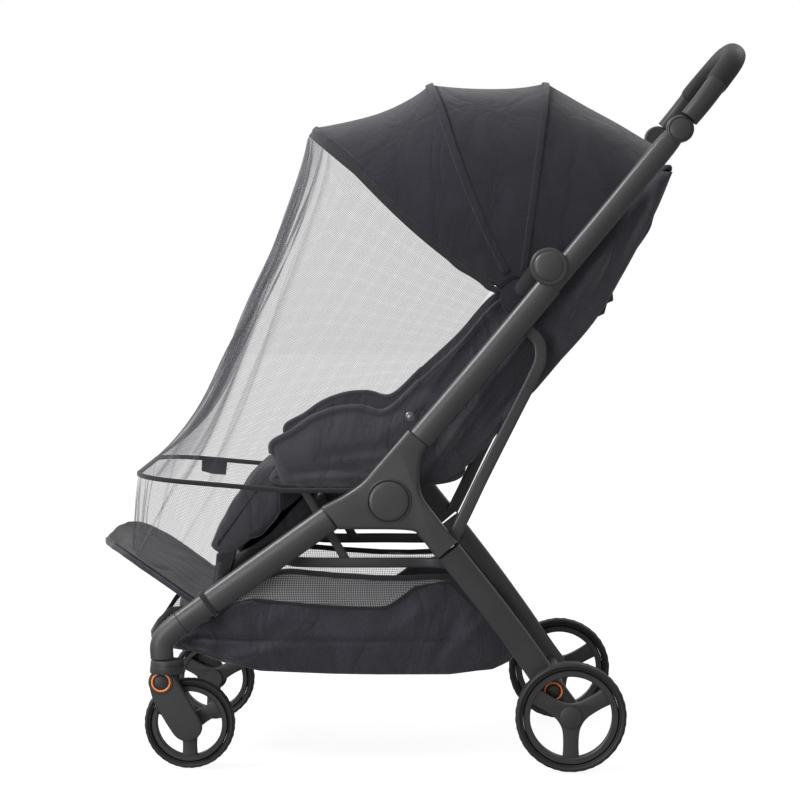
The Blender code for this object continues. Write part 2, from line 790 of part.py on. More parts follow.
def shifted_arch(shift, count):
    """The front bow's arch moved down and forward, in the net's own direction."""
    heading = math.radians(BOWS[0][1])
    step = Vector((-math.sin(heading), 0.0, math.cos(heading))) * shift
    line = even_arch(BOWS[0][1], BOWS[0][2] - 0.002, NET_Y + NET_TOP_WIDER, BOWS[0][3], count)
    return [point + step for point in line]


def fold_height(folds, u, v):
    """Sum of the folds at place u across and v down, each a soft ridge that fades at both ends."""
    total = 0.0
    for top, bottom, height, half in folds:
        away = (u - (top + (bottom - top) * v)) / half
        total += height * math.exp(-away * away)
    return total * math.sin(math.pi * min(max(v, 0.0), 1.0)) ** 0.6


def upper_net():
    top = shifted_arch(NET_TOP_SHIFT, NET_COLUMNS + 1)
    bottom = hoop_path(HOOP_REAR_X, NET_EDGE_LIFT, NET_COLUMNS + 1)
    rows = []
    for row in range(NET_ROWS + 1):
        v = row / NET_ROWS
        line = []
        for column in range(NET_COLUMNS + 1):
            u = column / NET_COLUMNS
            point = top[column].lerp(bottom[column], v)
            front = math.exp(-(((u - 0.5) / 0.17) ** 4))
            out = Vector((-front, math.copysign(1 - front, u - 0.5), 0.0)).normalized()
            sag = (SIDE_SAG + (FRONT_SAG - SIDE_SAG) * front) * math.sin(math.pi * v)
            line.append(point + out * (fold_height(NET_FOLDS, u, v) - sag))
        rows.append(line)
    sheet("net_upper", rows, NET_THICK, NET_CLOTH)
    first = shifted_arch(NET_TOP_SHIFT - 2 * GAP, NET_COLUMNS + 1)
    last = shifted_arch(NET_TOP_SHIFT - 2 * GAP - BINDING_WIDTH, NET_COLUMNS + 1)
    sheet("net_top_binding", (last, first), 0.0016, BAND_CLOTH)


def skirt():
    top = hoop_path(SKIRT_REAR_X, -NET_EDGE_LIFT, SKIRT_COLUMNS + 1)
    plan = rounded_u(SKIRT_FOOT_REAR_X, SKIRT_FOOT_FRONT_X, SKIRT_FOOT_Y, SKIRT_FOOT_CORNER)
    foot = evenly([Vector((x, y, 0.0)) for x, y in plan], SKIRT_COLUMNS + 1)
    rows = []
    for row in range(SKIRT_ROWS + 1):
        v = row / SKIRT_ROWS
        line = []
        for column in range(SKIRT_COLUMNS + 1):
            u = column / SKIRT_COLUMNS
            place = foot[column]
            place = Vector((place.x, place.y, footrest_height(place.x, place.y) + DRAPE_CLEAR))
            point = top[column].lerp(place, v)
            out = Vector((-1.0 if 0.25 < u < 0.75 else 0.0, math.copysign(0.7, u - 0.5), 0.0))
            line.append(point + out.normalized() * fold_height(SKIRT_FOLDS, u, v))
        rows.append(line)
    sheet("net_skirt", rows, NET_THICK, NET_CLOTH)


def net_trim():
    """Hoop band, the tab on its far side, press studs and the straps round the front legs."""
    band = hoop_path(HOOP_REAR_X, 0.0, 41)
    tube("net_hoop_band", band, HOOP_BAND_HEIGHT, HOOP_BAND_DEPTH, BAND_CLOTH, 1)
    face = NET_Y + HOOP_BAND_DEPTH / 2 + GAP
    plate("net_hoop_tab", (TAB,), face, face + TAB_THICK, 0.0, BAND_CLOTH)
    along = Vector((FRONT_LEG[1][0] - FRONT_LEG[2][0], 0.0, FRONT_LEG[1][1] - FRONT_LEG[2][1]))
    across = Vector((-along.z, 0.0, along.x)).normalized()
    away = STRAP_WIDTH / 2 + STRAP_CLEAR
    for word, side in SIDES:
        face = NET_Y + NET_THICK / 2 + GAP
        ends = (side * face, side * (face + STUD_HEIGHT))
        cylinder(f"net_stud_{word}", STUD, STUD_RADIUS, *ends, STEEL, 20)
        middle = Vector((STRAP_AT[0], side * TUBE_Y, STRAP_AT[1]))
        loop = []
        for step in range(20):
            turn = 2 * math.pi * step / 20
            out = across * (LEG_WIDTH / 2 + away) * math.cos(turn)
            out += Vector((0.0, (TUBE_DEPTH / 2 + away) * math.sin(turn), 0.0))
            loop.append(middle + out)
        tube(f"leg_strap_{word}", loop, STRAP_WIDTH, STRAP_WIDTH, BAND_CLOTH, 0, closed=True)


def build():
    for word, side in SIDES:
        frame_side(word, side)
    handle()
    lower_bars()
    wheels()
    casters()
    seat()
    footrest()
    basket()
    canopy()
    upper_net()
    skirt()
    net_trim()


build()
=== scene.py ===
"""Looks of the compact stroller and of the mosquito net that is fitted over its front.

Metres, +Z up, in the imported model's own frame: the stroller faces -X and its near side is at -Y.
A place in the side view is (x, z). Every surface is a grid of points worked out with numpy.
"""

import math

import bmesh
import bpy
import numpy as np
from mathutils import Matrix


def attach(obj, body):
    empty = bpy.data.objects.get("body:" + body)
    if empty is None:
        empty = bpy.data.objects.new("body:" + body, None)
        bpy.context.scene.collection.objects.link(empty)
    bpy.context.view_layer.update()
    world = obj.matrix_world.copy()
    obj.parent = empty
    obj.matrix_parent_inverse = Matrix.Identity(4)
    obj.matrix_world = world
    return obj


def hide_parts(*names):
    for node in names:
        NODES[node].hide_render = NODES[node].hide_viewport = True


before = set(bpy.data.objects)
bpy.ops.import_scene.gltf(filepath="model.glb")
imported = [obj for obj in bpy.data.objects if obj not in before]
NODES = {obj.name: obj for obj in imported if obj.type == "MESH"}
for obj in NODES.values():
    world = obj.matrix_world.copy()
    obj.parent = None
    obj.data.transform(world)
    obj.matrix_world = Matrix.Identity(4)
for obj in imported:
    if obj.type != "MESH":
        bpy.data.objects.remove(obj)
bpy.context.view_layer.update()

# Camera of the photo: place, turn to the left and down, and lens
CAMERA_PLACE = (0.0415, -3.95, 0.7932)
CAMERA_LEFT = math.radians(1.0989)
CAMERA_DOWN = math.radians(3.8495)
CAMERA_LENS = 117.034

# Frame
SIDES = (("near", -1.0), ("far", 1.0))
GAP = 0.0003
TUBE_Y = 0.2075
TUBE_DEPTH = 0.024
TUBE_OUTER_Y = TUBE_Y + TUBE_DEPTH / 2
TUBE_INNER_Y = TUBE_Y - TUBE_DEPTH / 2
UPPER_TUBE = ((0.3569, 0.9149), (0.3160, 0.8655), (0.2700, 0.8090), (0.2250, 0.7548), (0.1857, 0.7075))
LOWER_TUBE = ((0.1854, 0.7072), (0.0950, 0.5980), (-0.0010, 0.4853))
FRONT_LEG = (
    (-0.1315, 0.3705), (-0.2400, 0.2930), (-0.3300, 0.2290), (-0.3600, 0.2065), (-0.3758, 0.1870),
    (-0.3765, 0.1637),
)
UPPER_WIDTH = 0.033
LOWER_WIDTH = 0.037
LEG_WIDTH = 0.039
REAR_LEG_WIDTH = 0.038
REAR_LEG_DEPTH = 0.022
# Sections of tubes and bars: width, depth and squareness, 2 being an ellipse
UPPER_SECTION = (UPPER_WIDTH, TUBE_DEPTH, 2.35)
LOWER_SECTION = (LOWER_WIDTH, TUBE_DEPTH, 2.35)
LEG_SECTION = (LEG_WIDTH, TUBE_DEPTH, 2.45)
REAR_LEG_SECTION = (REAR_LEG_WIDTH, REAR_LEG_DEPTH, 2.6)
STRUT_SECTION = (0.018, 0.008, 4.0)
BAR_SECTION = (0.015, 0.008, 4.0)
LINK_SECTION = (0.0130, 0.0045, 3.0)
UPPER_TUBE_END = (0.3650, 0.9243)
NECK_SHARE = 0.22
LEG_TAPER = 0.14
# Grooves where castings meet: name, place, heading along the tube, its width and the share of its section
SEAMS = (
    ("lower_tube_seam", (-0.0018, 0.4842), (0.6486, 0.7611), LOWER_WIDTH, 1.0),
    ("front_leg_seam", (-0.1325, 0.3698), (-0.8137, -0.5813), LEG_WIDTH, 1.0),
    ("leg_end_seam", (-0.3480, 0.2160), (-0.8137, -0.5813), LEG_WIDTH, 0.93),
)
REAR_LEG_Y = 0.1815
REAR_LEG = (
    (0.0397, TUBE_Y, 0.3214), (0.1000, 0.1960, 0.2440), (0.1500, 0.1850, 0.1760),
    (0.1900, REAR_LEG_Y, 0.1180), (0.2140, REAR_LEG_Y, 0.0850),
)
STRUT_Y = 0.1908
STRUT = (
    (0.0460, 0.3380), (0.0660, 0.3790), (0.0900, 0.4300), (0.1340, 0.5180), (0.1600, 0.5700),
    (0.1720, 0.6000), (0.1690, 0.6260), (0.1510, 0.6440),
)
HOUSING = (
    (-0.1429, 0.3875), (-0.1120, 0.4040), (-0.0850, 0.4230), (-0.0640, 0.4470), (-0.0190, 0.4990),
    (0.0090, 0.4760), (0.0010, 0.4600), (-0.0020, 0.4300), (0.0020, 0.4020), (0.0230, 0.3720),
    (0.0520, 0.3360), (0.0230, 0.3120), (-0.0010, 0.3420), (-0.0200, 0.3530), (-0.1191, 0.3541),
)
# Numbers of the casting's points at both sides of each tube's straight end
HOUSING_CORNERS = (0, 4, 5, 10, 11, 14)
PIVOT = (-0.046, 0.396)
PIVOT_RADIUS = 0.0325
CANOPY_HUB = (0.183, 0.734)
HUB_RADIUS = 0.027
# Lobe behind the hub: place and radius of its upper and of its lower end
HUB_LOBE_TOP = (0.1745, 0.7410)
HUB_LOBE_TOP_RADIUS = 0.0110
HUB_LOBE_FOOT = (0.1470, 0.7020)
HUB_LOBE_FOOT_RADIUS = 0.0120
HANDLE_JOINT = (0.370, 0.930)
JOINT_RADIUS = 0.0195
HANDLE = (
    (0.3832, 0.2075, 0.9452), (0.4050, 0.2050, 0.9720), (0.4270, 0.1900, 1.0010),
    (0.4460, 0.1600, 1.0250), (0.4560, 0.1150, 1.0390), (0.4595, 0.0550, 1.0450),
    (0.4600, 0.0000, 1.0460),
)
HANDLE_RADIUS = 0.0165
HANDLE_UP = (-0.79, 0.0, 0.61)
HANDLE_POINTS = 300
ARM_POINTS = 34
LOWER_BAR = (
    (-0.2120, 0.1938, 0.3125), (-0.1900, 0.1735, 0.3030), (-0.1600, 0.1520, 0.2980),
    (-0.0600, 0.1520, 0.2980), (0.0150, 0.1520, 0.2980), (0.0560, 0.1886, 0.2980),
)
SEAT_LINK = ((-0.1790, 0.4150), (-0.1080, 0.2960))
SEAT_LINK_Y = 0.1470

# Wheels and forks
# Wheels: centre, radius, radius of the rim's hole, place across, half a spoke's width, hub's radius
WHEELS = (
    ("front", (-0.338, 0.0665), 0.0665, 0.0475, 0.1900, 0.0105, 0.0150),
    ("rear", (0.218, 0.081), 0.081, 0.0595, 0.2095, 0.0115, 0.0175),
)
RIM_HALF = 0.0088
SPOKES_HALF = 0.0070
TREAD_RIBS = 36
TREAD_RIB_DEPTH = 0.0005
TREAD_CROWN = 0.004
TYRE_WIDTH = 0.024
FORK = (
    (-0.3900, 0.1437), (-0.3942, 0.1280), (-0.3880, 0.1030), (-0.3660, 0.0640), (-0.3530, 0.0480),
    (-0.3370, 0.0440), (-0.3215, 0.0530), (-0.3190, 0.0700), (-0.3320, 0.0960), (-0.3560, 0.1380),
    (-0.3640, 0.1437),
)
FORK_INNER_Y = 0.2035
FORK_OUTER_Y = 0.2195
FORK_RING = (-0.3770, 0.1312)
REAR_RING = (0.1930, 0.1150)
CASTER = (-0.3685, 0.1531)
CASTER_RADIUS = 0.026
CASTER_HEIGHT = 0.0182

# Canopy: bows as angle in degrees, length, drop at mid length and dip of the cloth behind them
FAN_FOOT = (0.143, 0.688)
FOOT_RADIUS = 0.030
CANOPY_HALF_WIDTH = 0.193
SQUARENESS = 0.72
BOWS = (
    (140.8, 0.396, 0.011, 0.027),
    (112.9, 0.342, 0.008, 0.020),
    (82.5, 0.320, 0.000, 0.018),
    (44.0, 0.310, 0.000, 0.000),
)
HEM_AHEAD = 0.0038
STITCH_PITCH = 0.0042
STITCH_WIDE = 0.00035
STITCH_HIGH = 0.00045
CLOTH_THICK = 0.0016
CLOTH_INSET = 0.001
HEM_INSET = 0.0012
PATCH_RADIUS = 0.029
PATCH_Y = (0.1905, 0.1925)

# Seat: lower and upper edges of its sides, front to top, and the outlines of its padded pieces
SEAT_SIDE_Y = (0.160, 0.175)
SIDE_LOWER = (
    (-0.2040, 0.4130), (-0.1200, 0.4110), (-0.0400, 0.4110), (0.0200, 0.4150), (0.0650, 0.4400),
    (0.1150, 0.4950), (0.1700, 0.5600), (0.2480, 0.6480), (0.2920, 0.7200), (0.3380, 0.8080),
    (0.3640, 0.8700),
)
SIDE_UPPER = (
    (-0.2190, 0.4600), (-0.2170, 0.4760), (-0.1890, 0.4920), (-0.1600, 0.5120), (-0.1250, 0.5250),
    (-0.0890, 0.5280), (-0.0500, 0.5230), (-0.0020, 0.5660), (0.0560, 0.6200), (0.1110, 0.6810),
    (0.1650, 0.7010), (0.2500, 0.7790), (0.3480, 0.8710),
)
SEAT_BACK = (
    (0.0140, 0.4650), (0.0500, 0.4960), (0.0900, 0.5350), (0.2230, 0.6860), (0.2980, 0.8100),
    (0.3330, 0.8560), (0.3560, 0.8800), (0.3640, 0.8730), (0.3480, 0.8440), (0.3380, 0.8060),
    (0.3300, 0.7830), (0.3030, 0.7430), (0.2830, 0.7080), (0.2600, 0.6660), (0.2200, 0.6160),
    (0.1700, 0.5560), (0.1150, 0.4930), (0.0650, 0.4400),
)
SEAT_BASE = (
    (-0.2030, 0.4130), (-0.2140, 0.4400), (-0.2080, 0.4600), (-0.1850, 0.4680), (-0.0900, 0.4640),
    (0.0000, 0.4560), (0.0130, 0.4640), (0.0640, 0.4390), (0.0200, 0.4130),
)
LEG_REST = (
    (-0.2148, 0.4400), (-0.2042, 0.4140), (-0.2010, 0.3850), (-0.2130, 0.3560), (-0.2350, 0.3350),
    (-0.2650, 0.3190), (-0.2960, 0.3080), (-0.3130, 0.3180), (-0.3110, 0.3300), (-0.2990, 0.3520),
    (-0.2720, 0.3990), (-0.2420, 0.4340),
)
LEG_REST_HALF = 0.145
LEG_REST_SEAM = (
    (-0.2085, 0.3980), (-0.2095, 0.3716), (-0.2260, 0.3480), (-0.2420, 0.3350), (-0.2747, 0.3310),
    (-0.2920, 0.3210),
)
BACK_CLIP_Y = (0.118, 0.150)
# Outline of the strap clip behind the seat's back
BACK_CLIP = (
    (0.2480, 0.6800), (0.2620, 0.7000), (0.2790, 0.6950), (0.2800, 0.6830), (0.2710, 0.6790),
    (0.2670, 0.6640), (0.2540, 0.6580),
)
# Outline of the lining behind the leg rest
REST_GUSSET = (
    (-0.2060, 0.4130), (-0.1680, 0.4130), (-0.1560, 0.4080), (-0.1600, 0.3820), (-0.1780, 0.3560),
    (-0.2100, 0.3340), (-0.2420, 0.3180), (-0.2740, 0.3140), (-0.2480, 0.3290), (-0.2230, 0.3480),
    (-0.2060, 0.3760),
)
# Footrest sections: place along x, height of its rim, half width and how deep its middle dips
FOOTREST = (
    (-0.4738, 0.3230, 0.060, 0.001),
    (-0.4675, 0.3240, 0.105, 0.004),
    (-0.4550, 0.3210, 0.140, 0.007),
    (-0.4350, 0.3120, 0.162, 0.010),
    (-0.4100, 0.2970, 0.173, 0.012),
    (-0.3830, 0.2790, 0.175, 0.012),
    (-0.3550, 0.2590, 0.175, 0.011),
    (-0.3360, 0.2450, 0.172, 0.009),
    (-0.3180, 0.2350, 0.165, 0.006),
    (-0.3060, 0.2500, 0.152, 0.003),
    (-0.3000, 0.2780, 0.145, 0.001),
    (-0.2975, 0.3074, 0.142, 0.000),
)
FOOTREST_THICK = 0.006
STRAP_AT = (-0.3080, 0.2447)

# Basket: heights of its rim, of the edge between mesh and bag, and of its bottom, along x
BASKET_ENDS = (-0.4060, 0.1440)
BASKET_HALF = 0.154
BASKET_RIM = (
    (-0.4060, 0.1820), (-0.3900, 0.2060), (-0.3700, 0.2260), (-0.3480, 0.2280), (-0.3300, 0.2170),
    (-0.3050, 0.2180), (-0.2850, 0.2400), (-0.2450, 0.2720), (-0.2020, 0.2860), (-0.1600, 0.2820),
    (-0.0900, 0.2760), (-0.0200, 0.2750), (0.0180, 0.2770), (0.0420, 0.2760), (0.1100, 0.2050),
    (0.1440, 0.1580),
)
BAG_EDGE = (
    (-0.4060, 0.1790), (-0.3600, 0.1880), (-0.3200, 0.2050), (-0.3050, 0.2120), (-0.2850, 0.2330),
    (-0.2478, 0.2423), (-0.2080, 0.2379), (-0.1196, 0.2308), (-0.0534, 0.2290), (-0.0313, 0.2429),
    (-0.0093, 0.2607), (0.0420, 0.2690), (0.1100, 0.2000), (0.1440, 0.1560),
)
BAG_BOTTOM = (
    (-0.4060, 0.1770), (-0.3900, 0.1680), (-0.3382, 0.1610), (-0.2895, 0.1430), (-0.2408, 0.1300),
    (-0.1050, 0.1250), (0.0424, 0.1255), (0.1050, 0.1330), (0.1307, 0.1450), (0.1440, 0.1540),
)

# Net
NET_Y = 0.1900
NET_TOP_SHIFT = 0.0145
NET_TOP_WIDER = 0.0010
BINDING_WIDTH = 0.0095
HOOP_REAR_X = -0.0850
HOOP_FRONT_X = -0.4190
HOOP_CORNER = 0.0700
HOOP_Z = 0.4080
HOOP_RISE = 0.0850
HOOP_RISE_FROM_X = -0.2000
NET_EDGE_LIFT = 0.0042
FRONT_SAG = 0.027
SIDE_SAG = 0.0004
# Inward pull of the net's front, over its height from the canopy to the hoop
FRONT_PULL = (0.0, 0.0075, 0.0090, 0.0095, 0.0100, 0.0120, 0.0170, 0.0245, 0.0310, 0.0270, 0.0)
# Share of that pull, how wide it is and how wide the net's front is, as shares of the way round
PULL_SHARE = 1.15
PULL_SPREAD = 0.21
FRONT_SPREAD = 0.17
PLEATS = 46
PLEAT_HEIGHT = 0.0016
# Folds of the net: where they run at 0, 1/4, 1/2, 3/4 and all of the way down, as the share of the
# way round from the near edge, then height, half width, how gathered and darkened the net is, partly
# painted shade along and beside the fold, and over what width; a row with no height is painted shade alone
NET_FOLDS = (
    (0.372, 0.345, 0.306, 0.277, 0.264, 0.0075, 0.0060, 0.45, 0.0050),
    (0.370, 0.342, 0.303, 0.274, 0.261, 0.0000, 0.0060, 0.55, 0.0014),
    (0.384, 0.358, 0.320, 0.292, 0.282, -0.0050, 0.0060, 0.10, 0.0040),
    (0.352, 0.306, 0.273, 0.251, 0.226, 0.0030, 0.0034, 0.40, 0.0013),
    (0.348, 0.302, 0.268, 0.246, 0.221, 0.0000, 0.0034, 0.22, 0.0050),
    (0.400, 0.376, 0.340, 0.314, 0.306, 0.0060, 0.0070, 0.50, 0.0032),
    (0.415, 0.398, 0.368, 0.340, 0.335, -0.0060, 0.0080, 0.10, 0.0030),
    (0.428, 0.416, 0.392, 0.368, 0.364, 0.0085, 0.0085, 0.90, 0.0045),
    (0.446, 0.436, 0.418, 0.398, 0.396, -0.0070, 0.0090, 0.10, 0.0030),
    (0.462, 0.455, 0.442, 0.430, 0.428, 0.0085, 0.0095, 0.80, 0.0045),
    (0.486, 0.484, 0.480, 0.476, 0.476, -0.0070, 0.0100, 0.15, 0.0040),
    (0.508, 0.510, 0.512, 0.514, 0.516, 0.0080, 0.0100, 0.60, 0.0045),
    (0.535, 0.542, 0.552, 0.560, 0.562, -0.0070, 0.0100, 0.15, 0.0040),
    (0.558, 0.572, 0.590, 0.605, 0.610, 0.0080, 0.0090, 0.70, 0.0040),
    (0.585, 0.605, 0.630, 0.655, 0.662, -0.0050, 0.0080, 0.15, 0.0030),
    (0.605, 0.635, 0.672, 0.702, 0.712, 0.0050, 0.0060, 0.40, 0.0030),
    (0.625, 0.662, 0.705, 0.738, 0.752, 0.0030, 0.0040, 0.30, 0.0015),
)
SKIRT_REAR_X = -0.2050
SKIRT_FOOT_FRONT_X = -0.4320
SKIRT_FOOT_REAR_X = -0.3200
SKIRT_FOOT_Y = 0.1500
SKIRT_FOOT_CORNER = 0.0700
DRAPE_CLEAR = 0.0026
# Folds of the veil, in the same columns as the net's; their gathering darkens the veil, partly as painted
# shade.
SKIRT_FOLDS = (
    (0.345, 0.346, 0.347, 0.349, 0.350, 0.0050, 0.0070, 0.70, 0.0020),
    (0.300, 0.301, 0.302, 0.305, 0.308, 0.0045, 0.0060, 0.60, 0.0018),
    (0.205, 0.212, 0.220, 0.232, 0.250, 0.0050, 0.0060, 0.60, 0.0018),
    (0.200, 0.210, 0.224, 0.242, 0.262, -0.0030, 0.0050, 0.35, 0.0014),
    (0.405, 0.408, 0.410, 0.412, 0.415, 0.0055, 0.0090, 0.45, 0.0030),
    (0.440, 0.442, 0.443, 0.444, 0.445, -0.0050, 0.0120, 0.20, 0.0040),
    (0.560, 0.556, 0.552, 0.548, 0.545, 0.0050, 0.0120, 0.35, 0.0040),
    (0.640, 0.640, 0.642, 0.644, 0.646, 0.0050, 0.0090, 0.45, 0.0030),
    (0.740, 0.742, 0.746, 0.748, 0.750, 0.0045, 0.0100, 0.35, 0.0030),
    (0.860, 0.858, 0.855, 0.852, 0.850, -0.0040, 0.0140, 0.20, 0.0040),
)
# How far in from the edges the gathered middle of the net begins, from its top to its foot
GATHERED_FROM = (0.385, 0.350, 0.312, 0.284, 0.270)
STUD = (-0.0160, 0.5160)
TAB = ((-0.3550, 0.4226), (-0.3140, 0.4190), (-0.3170, 0.3940), (-0.3370, 0.3950), (-0.3560, 0.4000))

# Studio: place, size and power of each softbox; the sky's light from below to above and what its left adds;
# the floor's own tone, and how bright it is to the camera and to the object
LIGHTS = (
    ("key_softbox", (-2.2, -0.9, 2.5), 1.1, 78.0),
    ("front_fill", (-1.7, -3.0, 0.7), 1.2, 32.0),
    ("back_rim", (1.8, 2.4, 2.6), 1.4, 16.0),
)
LIGHTS_AIM = (0.0, 0.0, 0.5)
SKY = (0.18, 0.78)
SKY_LEFT = 0.80
FLOOR_TONE = 0.14
FLOOR_SEEN = 0.90
FLOOR_GLOW = 0.22
FLOOR_HALF = 12.0
FLOOR_Z = -0.0006


def make_camera():
    """The photo's camera, which heads along +Y and is turned left and down from there."""
    data = bpy.data.cameras.new("photo_view")
    data.lens = CAMERA_LENS
    camera = bpy.data.objects.new("photo_view", data)
    camera.location = CAMERA_PLACE
    camera.rotation_euler = (math.pi / 2 - CAMERA_DOWN, 0.0, CAMERA_LEFT)
    bpy.context.scene.collection.objects.link(camera)
    bpy.context.scene.camera = camera


make_camera()


# Curves and grids


def unit(vectors):
    """Vectors divided by their own lengths."""
    return vectors / np.maximum(np.linalg.norm(vectors, axis=-1, keepdims=True), 1e-12)


def spaced(path, count, closed=False):
    """Points along a polyline, all the same length apart."""
    path = np.asarray(path, float)
    if closed:
        path = np.vstack([path, path[:1]])
    reach = np.concatenate([[0.0], np.cumsum(np.linalg.norm(np.diff(path, axis=0), axis=1))])
    stops = np.linspace(0.0, reach[-1], count + 1)[:-1] if closed else np.linspace(0.0, reach[-1], count)
    return np.stack([np.interp(stops, reach, path[:, axis]) for axis in range(path.shape[1])], 1)


def curve(points, count, closed=False, steps=16):
    """Catmull-Rom curve: each span is the cubic whose end slopes are half its neighbours' chord."""
    p = np.asarray(points, float)
    if closed:
        p = np.vstack([p[-1:], p, p[:2]])
    else:
        p = np.vstack([2 * p[0] - p[1], p, 2 * p[-1] - p[-2]])
    t = np.linspace(0.0, 1.0, steps, endpoint=False)[None, :, None]
    a, b, c, d = p[:-3, None], p[1:-2, None], p[2:-1, None], p[3:, None]
    spans = (2 * b + (c - a) * t + (2 * a - 5 * b + 4 * c - d) * t**2 + (3 * b - a - 3 * c + d) * t**3) / 2
    line = spans.reshape(-1, p.shape[1])
    if not closed:
        line = np.vstack([line, p[-2:-1]])
    return spaced(line, count, closed)


def casting_outline(points, corners):
    """Outline of a casting with a straight end at each tube, and the way in which each point draws in.

    On the long edges that is square to the edge; over an end it turns evenly from corner to corner.
    """
    points = [np.asarray(point, float) for point in points]
    parts, ways = [], []
    for start, stop in zip(corners, [*corners[1:], corners[0] + len(points)]):
        part = np.array([points[index % len(points)] for index in range(start, stop + 1)])
        parts.append(curve(part, 50) if len(part) > 2 else spaced(part, 12))
        ahead = unit(np.gradient(parts[-1], axis=0))
        ways.append(np.stack([ahead[:, 1], -ahead[:, 0]], 1))
    line = np.vstack([part[:-1] for part in parts])
    area = np.sum(line[:, 0] * np.roll(line[:, 1], -1) - line[:, 1] * np.roll(line[:, 0], -1))
    ways = [way if area > 0 else -way for way in ways]
    for index, part in enumerate(parts):
        if len(part) == 12:
            first, last = ways[index - 1][-1], ways[(index + 1) % len(ways)][0]
            share = np.linspace(0.0, 1.0, 12)[:, None]
            ways[index] = first + (last - first) * share
    return line, np.vstack([way[:-1] for way in ways])


def whole_turn(count):
    """Angles of one turn, all the same step apart."""
    return np.linspace(0.0, 2 * np.pi, count, endpoint=False)


def circle(centre, radius, count):
    """Points of a circle in the side view."""
    turn = whole_turn(count)
    return np.stack([centre[0] + radius * np.cos(turn), centre[1] + radius * np.sin(turn)], 1)


def standing(profile, side, base=0.0):
    """A profile of (radius, height above base), its heights turned to the side that it is on."""
    return [(radius, side * (base + height)) for radius, height in profile]


def flat_path(line, y):
    """A line of the side view as places in space."""
    line = np.asarray(line, float)
    return np.stack([line[:, 0], np.full(len(line), y), line[:, 1]], 1)


def outward(outline):
    """Unit normals of a closed outline, pointing away from its inside."""
    ahead = np.roll(outline, -1, 0) - np.roll(outline, 1, 0)
    normal = unit(np.stack([ahead[:, 1], -ahead[:, 0]], 1))
    area = np.sum(outline[:, 0] * np.roll(outline[:, 1], -1) - outline[:, 1] * np.roll(outline[:, 0], -1))
    return normal if area > 0 else -normal


def creases(x, z, table):
    """Sum of soft ridges, each height * exp(-(distance / width)^2) from (x0, z0) to (x1, z1)."""
    total = np.zeros_like(x)
    for x0, z0, x1, z1, height, width in table:
        dx, dz = x1 - x0, z1 - z0
        share = np.clip(((x - x0) * dx + (z - z0) * dz) / (dx * dx + dz * dz), 0.0, 1.0)
        away = np.hypot(x - x0 - share * dx, z - z0 - share * dz)
        fade = np.sin(np.pi * (0.08 + 0.84 * share)) ** 0.7
        total += height * fade * np.exp(-((away / width) ** 2))
    return total


def ripples(x, z, size, seed, waves=9):
    """Unevenness from -1 to 1: seeded sine waves of about one size, in every direction, averaged."""
    random = np.random.default_rng(seed)
    total = np.zeros_like(x)
    for _ in range(waves):
        heading, phase = random.uniform(0.0, 2 * np.pi, 2)
        pitch = size * random.uniform(0.6, 1.6)
        total += np.sin((x * np.cos(heading) + z * np.sin(heading)) * 2 * np.pi / pitch + phase)
    return total / waves**0.5 / 1.5


# Objects


def surface(
    name, grid, material, around=False, along=False, caps=False, sharp=None, values=None, side_uv=False
):
    """Mesh of a grid of points, a quad between every four neighbours, with its UV map in metres.

    around closes it across its columns and along closes it over its rows; caps fills both ends.
    side_uv maps it by its place in the side view, (x + y, z), in place of by its own grid.
    """
    rows, cols = grid.shape[:2]
    index = np.arange(rows * cols).reshape(rows, cols)
    step_u = np.linalg.norm(np.diff(grid, axis=1), axis=2).mean(0)
    step_v = np.linalg.norm(np.diff(grid, axis=0), axis=2).mean(1)
    u = np.tile(np.concatenate([[0.0], np.cumsum(step_u)]), (rows, 1))
    v = np.tile(np.concatenate([[0.0], np.cumsum(step_v)])[:, None], (1, cols))
    if side_uv:
        u, v = grid[..., 0] + grid[..., 1], grid[..., 2]
    if around:
        index = np.hstack([index, index[:, :1]])
        u = np.hstack([u, u[:, :1] if side_uv else u[:, -1:] + step_u.mean()])
        v = np.hstack([v, v[:, :1]])
    if along:
        index = np.vstack([index, index[:1]])
        u = np.vstack([u, u[:1]])
        v = np.vstack([v, v[-1:] + step_v.mean()])

    def corners(field):
        return np.stack([field[:-1, :-1], field[:-1, 1:], field[1:, 1:], field[1:, :-1]], -1).reshape(-1, 4)

    faces = corners(index).tolist()
    uv = np.stack([corners(u), corners(v)], -1).reshape(-1, 2)
    if caps:
        for ring in (index[0, :cols][::-1], index[-1, :cols]):
            faces.append(ring.tolist())
            uv = np.vstack([uv, grid.reshape(-1, 3)[ring][:, (0, 2)]])
    mesh = bpy.data.meshes.new(name)
    mesh.from_pydata(grid.reshape(-1, 3).tolist(), [], faces)
    mesh.uv_layers.new(name="metres").data.foreach_set("uv", uv.astype(np.float32).ravel())
    smooth = np.ones(len(faces), bool)
    if caps:
        smooth[-2:] = False
    mesh.polygons.foreach_set("use_smooth", smooth)
    for key, field in (values or {}).items():
        attribute = mesh.attributes.new(key, "FLOAT", "POINT")
        attribute.data.foreach_set("value", field.astype(np.float32).ravel())
    if caps or (around and along):
        face_outward(mesh)
    if sharp:
        mesh.set_sharp_from_angle(angle=math.radians(sharp))
    made = bpy.data.objects.new(name, mesh)
    bpy.context.scene.collection.objects.link(made)
    mesh.materials.append(material)
    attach(made, "root")
    return made


def face_outward(mesh):
    """Weld the mesh's doubles and turn its faces outwards."""
    shape = bmesh.new()
    shape.from_mesh(mesh)
    bmesh.ops.remove_doubles(shape, verts=shape.verts, dist=0.000001)
    bmesh.ops.recalc_face_normals(shape, faces=shape.faces)
    shape.to_mesh(mesh)
    shape.free()


def thicken(made, thickness, offset=0.0):
    """Give an open sheet its thickness."""
    solid = made.modifiers.new("thickness", "SOLIDIFY")
    solid.thickness = thickness
    solid.offset = offset
    return made


